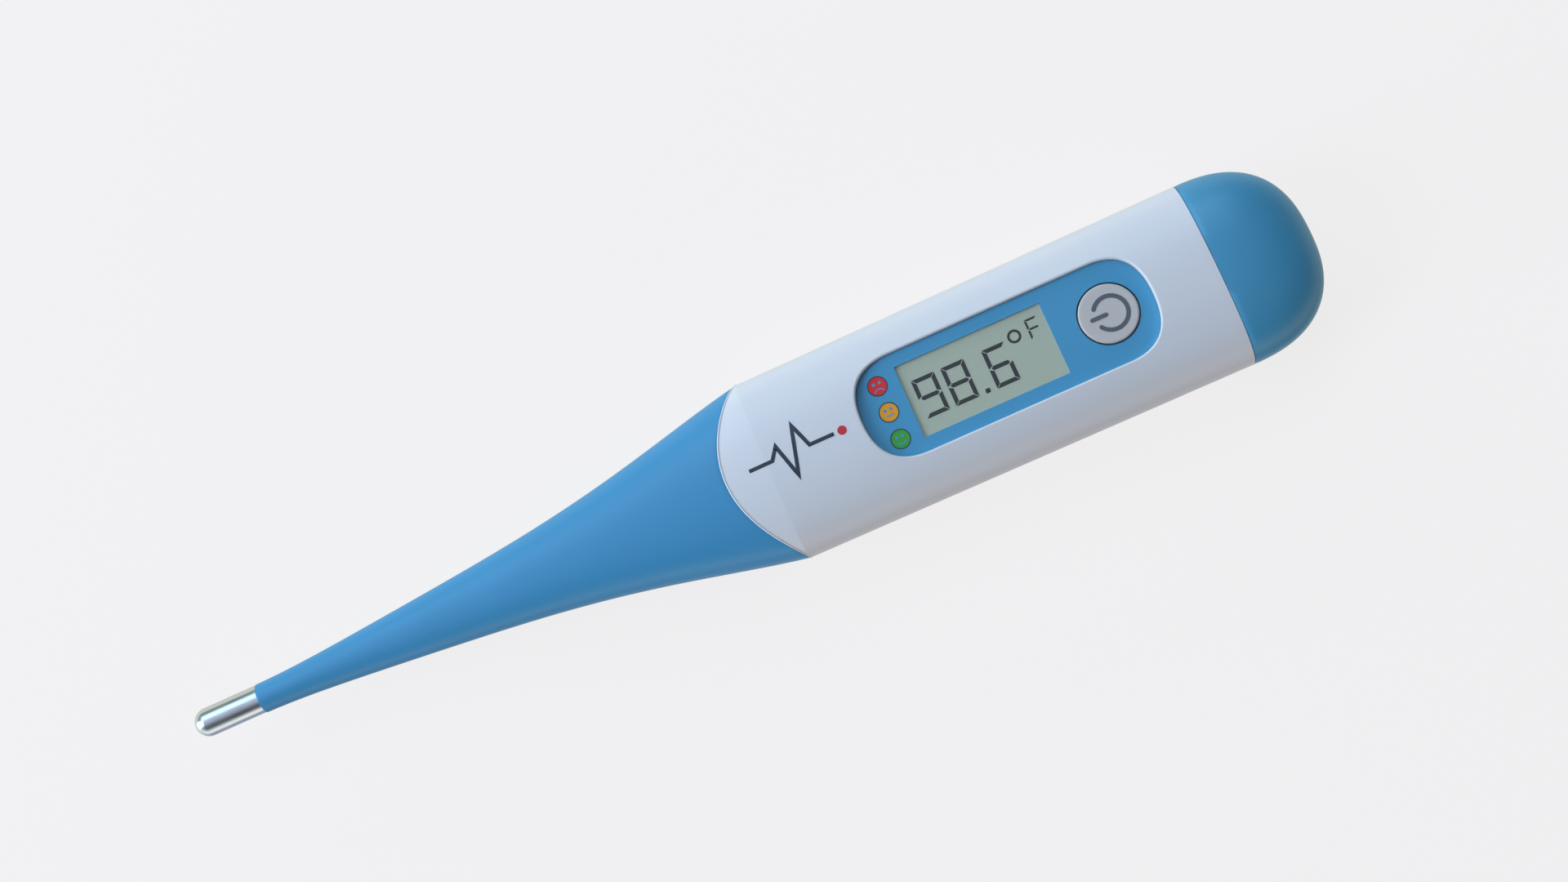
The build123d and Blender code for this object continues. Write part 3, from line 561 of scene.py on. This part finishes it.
SEAM_PLACES = seam_places()
base_rings = []
for share in [i / BASE_STEPS for i in range(BASE_STEPS - 2)] + SEAM_SHARES:
    points = []
    for k, end in enumerate(SEAM_PLACES):
        x = base_front + (end - base_front) * share
        (_, y, z) = at_index(probe_section, x, k)
        near = max(0.0, 1 - (end - x) / SEAM_DIP_REACH)
        reach = hypot(y, z - AXIS_Z)
        keep = 1 - SEAM_DIP * near**2 / reach
        points.append((x, y * keep, AXIS_Z + (z - AXIS_Z) * keep))
    base_rings.append(points)
base_rings.append([at_index(nose_section, x, k) for k, x in enumerate(SEAM_PLACES)])
for share in (0.25, 0.5, 0.75, 1.0):
    places = [x + (NOSE_FRONT - x) * share for x in SEAM_PLACES]
    base_rings.append([at_index(nose_section, x, k) for k, x in enumerate(places)])
base_rings.append(ring(NOSE_FRONT, round_bore(nose_section(NOSE_FRONT), WIRE_BORE_R)))
base_rings.append(ring(base_front, round_bore(probe_section(base_front), WIRE_BORE_R)))
probe_skin = solid("probe_skin_base", base_rings, "blue_sleeve", "housing", wrap=True)
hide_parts("probe_base")

# The white body's edge at the seam is a thin rolled lip.
LIP_R = 0.11
LIP_STEPS = 10
LIP_REAR = 0.03  # how far the lip's centre line lies behind the seam, and under the surface
lip_rings = []
count = len(SEAM_PLACES)
spine = [Vector(at_index(probe_section, x + LIP_REAR, k)) for k, x in enumerate(SEAM_PLACES)]
for k, centre in enumerate(spine):
    along = (spine[(k + 1) % count] - spine[k - 1]).normalized()
    outward = Vector((0, centre.y, centre.z - AXIS_Z)).normalized()
    across = along.cross(outward).normalized()
    outward = across.cross(along).normalized()
    turns = [2 * pi * i / LIP_STEPS for i in range(LIP_STEPS)]
    lip_rings.append(
        [centre + LIP_R * (cos(t) * outward + sin(t) * across) - LIP_REAR * outward for t in turns]
    )
solid("seam_lip", lip_rings, "white_shell", "housing", wrap=True, crease=60)

# ---------------------------------------------------------------- metal tip
TIP_STEP = 0.8


def dome(radius, steps):
    """(along, radius) points of a round end, from its point to its rim."""
    turns = [pi / 2 * i / steps for i in range(1, steps + 1)]
    return [(-radius * cos(turn), radius * sin(turn)) for turn in turns]


dome_x = TIP_END + TIP_R
shank_front, shank_rear = SLEEVE_FRONT - dome_x, SHANK_END - dome_x
tip_profile = dome(TIP_R, 24)
tip_profile += [(x - dome_x, TIP_R) for x in steps_between(dome_x, SLEEVE_FRONT, TIP_STEP)[1:]]
tip_profile += [(shank_front, SHANK_R), (shank_rear, SHANK_R), (shank_rear, TIP_BORE_R)]
tip_profile += dome(TIP_BORE_R, 12)[::-1]
tip_rings = lathe(tip_profile, (dome_x, 0, AXIS_Z), (1, 0, 0))
tip = solid("steel_tip", tip_rings, "polished_steel", LAST_BODY)
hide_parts("probe_tip")

# ---------------------------------------------------------------- sensor wires
WIRE_FACETS = 12
WIRE_FRONT = low("lead_wires").x
WIRE_REAR = high("lead_wires").x
WIRE_RISE_X = 5.2
WIRE_TOP_X = 11.4
WIRE_TOP_Z = high("circuit_board").z + 0.53
WIRE_END_Z = high("circuit_board").z + 0.23


def tubes(name, lines, body=None):
    """Round wires along lines of points in the X-Z plane, one at each side."""
    mesh = bmesh.new()
    for side in (WIRE_Y, -WIRE_Y):
        rings = []
        for i, (x, z) in enumerate(lines):
            before, after = lines[max(i - 1, 0)], lines[min(i + 1, len(lines) - 1)]
            along = Vector((after[0] - before[0], 0, after[1] - before[1])).normalized()
            up = along.cross(Vector((0, 1, 0)))
            turns = [2 * pi * k / WIRE_FACETS for k in range(WIRE_FACETS)]
            spokes = [WIRE_R * (cos(t) * Vector((0, 1, 0)) + sin(t) * up) for t in turns]
            rings.append([Vector((x, side, z)) + spoke for spoke in spokes])
        skin_rings(mesh, rings)
    return finish_piece(name, mesh, "wire_insulation", body, crease=60)


def eased(start, corner, end, steps=8):
    """A smooth bend past a corner."""
    points = []
    for i in range(steps + 1):
        t = i / steps
        shares = ((1 - t) ** 2, 2 * t * (1 - t), t * t)
        x = shares[0] * start[0] + shares[1] * corner[0] + shares[2] * end[0]
        z = shares[0] * start[1] + shares[1] * corner[1] + shares[2] * end[1]
        points.append((x, z))
    return points


LOW_BEND, HIGH_BEND = 0.9, 1.4  # how far from each corner the wires begin to bend
rise = (WIRE_TOP_Z - AXIS_Z) / (WIRE_TOP_X - WIRE_RISE_X)
rear_line = [(base_front, AXIS_Z)]
rear_line += eased(
    (WIRE_RISE_X - LOW_BEND, AXIS_Z),
    (WIRE_RISE_X, AXIS_Z),
    (WIRE_RISE_X + LOW_BEND, AXIS_Z + LOW_BEND * rise),
)
rear_line += eased(
    (WIRE_TOP_X - HIGH_BEND, WIRE_TOP_Z - HIGH_BEND * rise),
    (WIRE_TOP_X, WIRE_TOP_Z),
    (WIRE_TOP_X + HIGH_BEND, WIRE_TOP_Z - 0.12),
)
rear_line.append((WIRE_REAR, WIRE_END_Z))
rear_wires = tubes("lead_wires_rear", rear_line, "housing")
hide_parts("lead_wires")
for index, x in enumerate(HINGE_X):
    line = [(place, AXIS_Z) for place in steps_between(x + HALF_PITCH, x - HALF_PITCH, BORE_STEP)]
    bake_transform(tubes(f"lead_wires_{index + 1:02d}", line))
tubes("lead_wires_front", [(mouth_rear, AXIS_Z), (WIRE_FRONT, AXIS_Z)], LAST_BODY)

# ---------------------------------------------------------------- battery cap
CAP_FRONT = low("battery_cap").x
CAP_LENGTH = high("battery_cap").x - CAP_FRONT
CAP_POWER = 2.5
CAP_TURNS = 56
CAP_FIRST_TURN, CAP_LAST_TURN = 0.2, 89.6  # degrees
CAP_EDGE_R = 0.16
SPIGOT = (9.25, 4.25, 5.05, 3.6)
SPIGOT_END = 58.8
CAP_FIT = 0.08
RING_THICK = 0.5
RING_WIDTH = 0.8
RING_ROOM = (0.1, 0.05)  # room for the ring in the cap, along and across
POCKET_END = SPIGOT_END + 0.3
TRAY_ROOM = dict(half_width=6.0, floor=2.6, ceiling=9.0, radius=1.5)
TRAY_ROOM_DEPTH = 3.5


def grown(margin):
    """The spigot's section, grown all round."""
    half_width, above, below, flat = SPIGOT
    return section(half_width + margin, above + margin, below + margin, flat + 0.3 * margin, FULL)


def tunnel(points, half_width, floor, ceiling, radius):
    """A round-cornered rectangle, each point in line with a section point."""
    middle = (floor + ceiling) / 2
    half_height = (ceiling - floor) / 2
    found = []
    for y, z in points:
        turn = atan2(z - middle, y)
        c, s = abs(cos(turn)), abs(sin(turn))
        reach = min(half_width / max(c, 1e-6), half_height / max(s, 1e-6))
        corner_y, corner_z = half_width - radius, half_height - radius
        if reach * c > corner_y and reach * s > corner_z:
            toward = corner_y * c + corner_z * s
            reach = toward + sqrt(toward**2 - corner_y**2 - corner_z**2 + radius**2)
        found.append((reach * cos(turn), middle + reach * sin(turn)))
    return found


def cap_section(turn):
    """(x, section) of the cap at a turn of 0 degrees, its rim, to 90 degrees, its end."""
    reach = CAP_LENGTH * sin(radians(turn)) ** (2 / CAP_POWER)
    scale = cos(radians(turn)) ** (2 / CAP_POWER)
    sizes = [scale * size for size in (BODY_REAR_HALF, CROWN, BELLY, FOOT)]
    return CAP_FRONT + reach, section(*sizes, FULL)


cap_rings = []
for degrees in (90, 60, 30):
    depth = CAP_EDGE_R * (1 - cos(radians(degrees)))
    x = CAP_FRONT + CAP_EDGE_R * (1 - sin(radians(degrees)))
    rim = section(BODY_REAR_HALF, CROWN, BELLY, FOOT, FULL)
    cap_rings.append(ring(x, inset(rim, depth)))
for i in range(CAP_TURNS):
    turn = CAP_FIRST_TURN + (CAP_LAST_TURN - CAP_FIRST_TURN) * i / (CAP_TURNS - 1)
    x, points = cap_section(turn)
    if x > CAP_FRONT + CAP_EDGE_R:
        cap_rings.append(ring(x, points))
pocket = grown(CAP_FIT)
rebate = grown(RING_THICK + RING_ROOM[1])
rebate_end = CAP_FRONT + RING_WIDTH + RING_ROOM[0]
room = tunnel(pocket, **TRAY_ROOM)
inside = [
    ring(POCKET_END + TRAY_ROOM_DEPTH, room),
    ring(POCKET_END, room),
    ring(POCKET_END, pocket),
    ring(rebate_end, pocket),
    ring(rebate_end, rebate),
    ring(CAP_FRONT, rebate),
]
cap = solid("cap_shell", inside + cap_rings, "blue_cap", "cap", crease=40)
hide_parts("battery_cap")

# ---------------------------------------------------------------- power button
button_low, button_high = low("power_button"), high("power_button")
BUTTON = ((button_low.x + button_high.x) / 2, 0.0)
BUTTON_TOP = button_high.z
BUTTON_R = 3.2
BUTTON_FLANGE_R = 4.0
BUTTON_LEDGE = 9.65
BUTTON_EDGE = 0.18
DISH = 0.02  # depth of the button's slight dish
AXIS_R = 0.02  # a lathe's innermost ring
button_profile = [(button_low.z, AXIS_R), (button_low.z, BUTTON_FLANGE_R)]
button_profile += [(BUTTON_LEDGE, BUTTON_FLANGE_R), (BUTTON_LEDGE, BUTTON_R)]
button_profile += rounded(
    (BUTTON_TOP - BUTTON_EDGE, BUTTON_R),
    (BUTTON_TOP, BUTTON_R),
    (BUTTON_TOP, BUTTON_R - BUTTON_EDGE),
)
button_profile += [(BUTTON_TOP, BUTTON_R - 0.4), (BUTTON_TOP - DISH / 2, 2.4)]
button_profile += [(BUTTON_TOP - DISH, 1.2), (BUTTON_TOP - DISH, AXIS_R)]
button_rings = lathe(button_profile, (*BUTTON, 0), (0, 0, 1))
button = solid("button_key", button_rings, "grey_button", "button")
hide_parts("power_button")

# The power symbol opens towards the tip.
SYMBOL = (BUTTON[0] + 0.25, BUTTON[1] - 0.04)
SYMBOL_R = 1.83
SYMBOL_STROKE = 0.46
SYMBOL_OPENING = 34  # degrees on each side of the bar
SYMBOL_BAR = (0.56, 2.1)  # the bar's ends, measured from the middle of the arc
symbol = bmesh.new()
sweep = arc(SYMBOL, SYMBOL_R, -180 + SYMBOL_OPENING, 180 - SYMBOL_OPENING, steps=64)
bar = [(SYMBOL[0] - end, SYMBOL[1]) for end in SYMBOL_BAR]
symbol_z = BUTTON_TOP - 0.03
plate(symbol, stroke(sweep, SYMBOL_STROKE), symbol_z, BUTTON_TOP + INK)
plate(symbol, stroke(bar, SYMBOL_STROKE), symbol_z, BUTTON_TOP + INK)
finish_piece("power_symbol", symbol, "button_ink", "button")

# ---------------------------------------------------------------- lights
LIGHT_R = 1.02
OUTLINE_R = 1.1
OUTLINE_LAP = 0.03
EYE_R = 0.17
EYE = (0.335, 0.29)
MOUTH_STROKE = 0.13
MOUTHS = {
    "fever": arc((0, -0.95), 0.62, 145, 35, steps=16),
    "raised": [(-0.36, -0.36), (0.36, -0.32)],
    "normal": arc((0, 0.05), 0.6, 220, 320, steps=16),
}
for light, mouth_line in MOUTHS.items():
    node = f"{light}_light_window"
    centre = (low(node) + high(node)) / 2
    face = bmesh.new()
    for side in (1, -1):
        eye = (centre.x + side * EYE[0], centre.y + EYE[1])
        plate(face, disc(eye, EYE_R, steps=24), PANEL_Z - INK, PANEL_Z + INK)
    mouth_here = [(centre.x + x, centre.y + y) for x, y in mouth_line]
    plate(face, stroke(mouth_here, MOUTH_STROKE), PANEL_Z - INK, PANEL_Z + INK)
    finish_piece(f"{light}_face", face, "blue_panel", "housing")
    outline = [(PANEL_Z - INK, LIGHT_R - OUTLINE_LAP), (PANEL_Z + INK, LIGHT_R - OUTLINE_LAP)]
    outline += [(PANEL_Z + INK, OUTLINE_R), (PANEL_Z - INK, OUTLINE_R)]
    rings = lathe(outline, (centre.x, centre.y, 0), (0, 0, 1), steps=64)
    solid(f"{light}_outline", rings, "motif_dark", "housing", wrap=True)

# ---------------------------------------------------------------- display digits
INK_LOW, INK_HIGH = GLASS_TOP - 0.01, GLASS_TOP + INK
SIGHT_SHIFT = (0.008, 0.05)  # the digits lie a little under the panel's plane, seen at an angle
DIGIT_WIDTH = 2.65
DIGIT_HEIGHT = 4.43
DIGIT_STROKE = 0.46
DIGIT_GAP = 0.05
UNIT_WIDTH = 1.4
UNIT_HEIGHT = 2.28
UNIT_STROKE = 0.23
UNIT_GAP = 0.04
POINT_HALF = 0.25
DEGREE_IN, DEGREE_OUT = 0.48, 0.75  # radii of the small ring before the unit


def segments(width, height, t, gap):
    """Outlines of a seven-segment digit's bars, with mitred ends."""
    middle = height / 2
    h = t / 2
    top, right = height - gap, width - gap
    return {
        "a": [(gap, height), (right, height), (right - t, height - t), (gap + t, height - t)],
        "b": [(width, top), (width, middle + gap), (width - t, middle + gap + h), (width - t, top - t)],
        "c": [(width, gap), (width - t, gap + t), (width - t, middle - gap - h), (width, middle - gap)],
        "d": [(gap, 0), (gap + t, t), (right - t, t), (right, 0)],
        "e": [(0, gap), (0, middle - gap), (t, middle - gap - h), (t, gap + t)],
        "f": [(0, top), (t, top - t), (t, middle + gap + h), (0, middle + gap)],
        "g": [
            (gap + h, middle),
            (gap + t, middle + h),
            (right - t, middle + h),
            (right - h, middle),
            (right - t, middle - h),
            (gap + t, middle - h),
        ],
    }


def in_sight(x, y):
    """A mark's place on the glass, moved so that it shows at (x, y) in the panel's plane."""
    return x + SIGHT_SHIFT[0], y + SIGHT_SHIFT[1]


def draw_digit(mesh, corner, lit, width, height, t, gap):
    """Add the lit bars of a digit whose lower left corner is given."""
    for name in lit:
        outline = segments(width, height, t, gap)[name]
        plate(mesh, [(corner[0] + x, corner[1] + y) for x, y in outline], INK_LOW, INK_HIGH)


DIGITS = (
    ("nine", (20.99, -2.45), "abcdfg"),
    ("eight", (24.36, -2.49), "abcdefg"),
    ("six", (29.04, -2.56), "acdefg"),
)
for name, (x, y), lit in DIGITS:
    digit = bmesh.new()
    draw_digit(digit, in_sight(x, y), lit, DIGIT_WIDTH, DIGIT_HEIGHT, DIGIT_STROKE, DIGIT_GAP)
    finish_piece(f"digit_{name}", digit, "lcd_ink", "housing")

marks = bmesh.new()
x, y = in_sight(28.04, -2.29)
point = [(-1, -1), (1, -1), (1, 1), (-1, 1)]
point = [(x + i * POINT_HALF, y + j * POINT_HALF) for i, j in point]
plate(marks, point, INK_LOW, INK_HIGH)
draw_digit(marks, in_sight(34.43, 0.74), "aefg", UNIT_WIDTH, UNIT_HEIGHT, UNIT_STROKE, UNIT_GAP)
finish_piece("digit_marks", marks, "lcd_ink", "housing")
degree = [(INK_LOW, DEGREE_IN), (INK_HIGH, DEGREE_IN), (INK_HIGH, DEGREE_OUT), (INK_LOW, DEGREE_OUT)]
degree = lathe(degree, (*in_sight(32.88, 1.87), 0), (0, 0, 1), steps=48)
solid("degree_ring", degree, "lcd_ink", "housing", wrap=True)


# ---------------------------------------------------------------- printed motif on the body
def crown_height(x, y):
    """Height of the body's upper surface at (x, y)."""
    if x < SEAM_SIDE_X:
        half_width, above = np.polyval(PROFILE, (x - STATION_MIDDLE) / STATION_SPREAD)[:2]
    else:
        half_width, above = SEAM_SIDE_Y, CROWN
    low_t, high_t = 0.0, 1.0
    for _ in range(40):
        t = (low_t + high_t) / 2
        across = (1 - t) ** 3 + 3 * (1 - t) ** 2 * t + 3 * (1 - t) * t * t * FULL
        if across * half_width > abs(y):
            low_t = t
        else:
            high_t = t
    return AXIS_Z + above * (3 * (1 - t) ** 2 * t * FULL + 3 * (1 - t) * t * t + t**3)


def printed(name, outline_pairs, material):
    """A thin printed strip on the crown, from pairs of points on its two sides."""
    mesh = bmesh.new()
    rings = []
    for (x0, y0), (x1, y1) in outline_pairs:
        lower = [(x0, y0, crown_height(x0, y0) - INK), (x1, y1, crown_height(x1, y1) - INK)]
        upper = [(x1, y1, crown_height(x1, y1) + INK), (x0, y0, crown_height(x0, y0) + INK)]
        rings.append(lower + upper)
    skin_rings(mesh, rings)
    return finish_piece(name, mesh, material, "housing")


PULSE_STROKE = 0.42
PULSE_STEPS = 6
MITRE_LIMIT = 0.35
DOT = (12.35, 0.0)
DOT_R = 0.5
PULSE = [(1.6, 0.0), (4.3, 0.0), (5.2, 1.3), (6.3, -2.5), (7.6, 2.7), (8.6, 0.0), (11.4, 0.0)]


def offset_pairs(points, width):
    """Both sides of a mitred strip along a line of points."""
    pairs = []
    for i, (x, y) in enumerate(points):
        before = Vector(points[i]) - Vector(points[max(i - 1, 0)])
        after = Vector(points[min(i + 1, len(points) - 1)]) - Vector(points[i])
        if i == 0:
            before = after
        if i == len(points) - 1:
            after = before
        before, after = before.normalized(), after.normalized()
        tangent = (before + after).normalized()
        normal = Vector((-tangent.y, tangent.x))
        reach = width / 2 / max(normal.dot(Vector((-before.y, before.x))), MITRE_LIMIT)
        left = (x + normal.x * reach, y + normal.y * reach)
        right = (x - normal.x * reach, y - normal.y * reach)
        pairs.append((left, right))
    return pairs


fine_pulse = []
for (x0, y0), (x1, y1) in zip(PULSE, PULSE[1:]):
    for i in range(PULSE_STEPS):
        fine_pulse.append((x0 + (x1 - x0) * i / PULSE_STEPS, y0 + (y1 - y0) * i / PULSE_STEPS))
fine_pulse.append(PULSE[-1])
printed("pulse_motif", offset_pairs(fine_pulse, PULSE_STROKE), "motif_dark")

dot_mesh = bmesh.new()
dot_rings = []
for height in (-INK, INK):
    dot_rings.append([(x, y, crown_height(x, y) + height) for x, y in disc(DOT, DOT_R, 36)])
skin_rings(dot_mesh, dot_rings)
finish_piece("pulse_dot", dot_mesh, "motif_red", "housing")

# ---------------------------------------------------------------- stage, light and camera
scene = bpy.context.scene
scene.view_settings.view_transform = "Standard"


def staged(name, mesh):
    """Pale paper that only the camera sees: the sky lights the object's underside and gloss."""
    data = bpy.data.meshes.new(name)
    mesh.to_mesh(data)
    mesh.free()
    paper = bpy.data.objects.new(name, data)
    paper.location.z = PAPER_Z
    scene.collection.objects.link(paper)
    paper.visible_diffuse = False
    paper.visible_glossy = False
    paper.visible_transmission = False
    paper.visible_shadow = False
    data.materials.append(pale_paper)


PAPER_Z = -0.0002  # just under the object, in metres, like the two sizes below
PAPER_TONES = [(0.3, (0.1, 0.1, 0.101)), (0.7, (0.104, 0.103, 0.104))]
pale_paper, paper_tree, paper_shader = new_material("pale_paper")
paper_tone = ramp(paper_tree, noise(paper_tree, 3.0), PAPER_TONES)
paper_tree.links.new(paper_tone, paper_shader.inputs["Base Color"])
paper_shader.inputs["Roughness"].default_value = 0.9
paper_shader.inputs["Specular IOR Level"].default_value = 0.0
paper_shader.inputs["Emission Color"].default_value = (1.0, 0.985, 0.985, 1)
paper_shader.inputs["Emission Strength"].default_value = 0.815

FLOOR_HALF = 6.0
floor = bmesh.new()
bmesh.ops.create_grid(floor, x_segments=8, y_segments=8, size=FLOOR_HALF)
staged("floor", floor)

# A round backdrop rises from the floor and closes overhead.
BACKDROP_R = 5.5
BACKDROP_SIDES = 48
BACKDROP_RINGS = 12
backdrop = bmesh.new()
backdrop_rings = []
for i in range(BACKDROP_RINGS):
    lift = pi / 2 * i / BACKDROP_RINGS
    reach = BACKDROP_R * cos(lift)
    turns = [2 * pi * k / BACKDROP_SIDES for k in range(BACKDROP_SIDES)]
    points = [(reach * cos(turn), reach * sin(turn), BACKDROP_R * sin(lift)) for turn in turns]
    backdrop_rings.append([backdrop.verts.new(point) for point in points])
for below, above in zip(backdrop_rings, backdrop_rings[1:]):
    for k in range(BACKDROP_SIDES):
        after = (k + 1) % BACKDROP_SIDES
        backdrop.faces.new((below[k], above[k], above[after], below[after]))
backdrop.faces.new(backdrop_rings[-1])
staged("backdrop", backdrop)

# The sky's colours by height: SKY_NEAR is for the viewer's side, -Y, and SKY for the rest.
SKY_HEIGHTS = (-0.5, -0.1, 0.15, 0.4, 0.7, 1.0)
SKY = (
    (0.58, 0.6, 0.52),
    (0.75, 0.8, 0.8),
    (0.3, 0.2, 0.1),
    (0.03, 0.03, 0.03),
    (0.02, 0.02, 0.03),
    (0.38, 0.35, 0.43),
)
SKY_NEAR = (
    (0.15, 0.15, 0.35),
    (1.3, 1.25, 1.1),
    (0.7, 0.7, 0.7),
    (0.03, 0.03, 0.03),
    (0.02, 0.02, 0.03),
    (0.38, 0.35, 0.43),
)
world = bpy.data.worlds.new("studio")
scene.world = world
world.use_nodes = True
sky = world.node_tree
background = sky.nodes["Background"]
direction = sky.nodes.new("ShaderNodeTexCoord")
parts = sky.nodes.new("ShaderNodeSeparateXYZ")
sky.links.new(direction.outputs["Generated"], parts.inputs["Vector"])


def spread(source, lowest, highest):
    """A direction's part between two limits, as 0 to 1."""
    node = sky.nodes.new("ShaderNodeMapRange")
    node.inputs["From Min"].default_value = lowest
    node.inputs["From Max"].default_value = highest
    sky.links.new(source, node.inputs["Value"])
    return node.outputs["Result"]


sky_height = spread(parts.outputs["Z"], -1, 1)
near_side = spread(parts.outputs["Y"], -0.2, -0.8)
sky_mix = sky.nodes.new("ShaderNodeMix")
sky_mix.data_type = "RGBA"
sky.links.new(near_side, sky_mix.inputs["Factor"])
MIX_FAR, MIX_NEAR, MIX_RESULT = 6, 7, 2  # the mix node's colour sockets
for colours, socket in ((SKY, MIX_FAR), (SKY_NEAR, MIX_NEAR)):
    stops = [((height + 1) / 2, colour) for height, colour in zip(SKY_HEIGHTS, colours)]
    sky.links.new(ramp(sky, sky_height, stops), sky_mix.inputs[socket])
sky.links.new(sky_mix.outputs[MIX_RESULT], background.inputs["Color"])


def soft_light(name, place, size, power, colour, in_gloss=True):
    """A large area light aimed at the middle of the object, seen or not in its gloss."""
    lamp = bpy.data.lights.new(name, "AREA")
    lamp.shape = "RECTANGLE"
    lamp.size, lamp.size_y = size
    lamp.energy = power
    lamp.color = colour
    light = bpy.data.objects.new(name, lamp)
    light.location = place
    light.rotation_euler = (-Vector(place)).to_track_quat("-Z", "Y").to_euler()
    light.visible_camera = False
    light.visible_glossy = in_gloss
    scene.collection.objects.link(light)


KEY_SIZE = (0.9, 0.25)
soft_light("key_side", (-0.1, 0.68, 0.18), KEY_SIZE, 1.6, (0.85, 0.93, 1.0), in_gloss=False)
soft_light("key_low", (-0.1, 0.6, 0.35), KEY_SIZE, 0.55, (0.3, 0.5, 1.0), in_gloss=False)
soft_light("key_middle", (-0.1, 0.5, 0.5), KEY_SIZE, 1.1, (0.6, 0.88, 1.0))
soft_light("key_high", (-0.1, 0.35, 0.6), KEY_SIZE, 1.0, (0.62, 0.8, 1.0))
soft_light("left", (-0.7, 0.0, 0.35), (0.3, 0.6), 5.0, (0.66, 0.8, 1.0))

camera = bpy.data.objects.new("camera", bpy.data.cameras.new("camera"))
camera.data.lens = 50.0
camera.data.sensor_width = 36.0
camera.data.clip_start = 0.01
forward = Vector((-0.06435937, 0.18899094, -0.97986749))
upward = Vector((0.40631527, 0.90179097, 0.14724452))
across = forward.cross(upward).normalized()
upward = across.cross(forward).normalized()
camera.matrix_world = Matrix.Translation(Vector((0.02107, -0.04196, 0.2368))) @ Matrix(
    (across, upward, -forward)
).transposed().to_4x4()
scene.collection.objects.link(camera)
scene.camera = camera
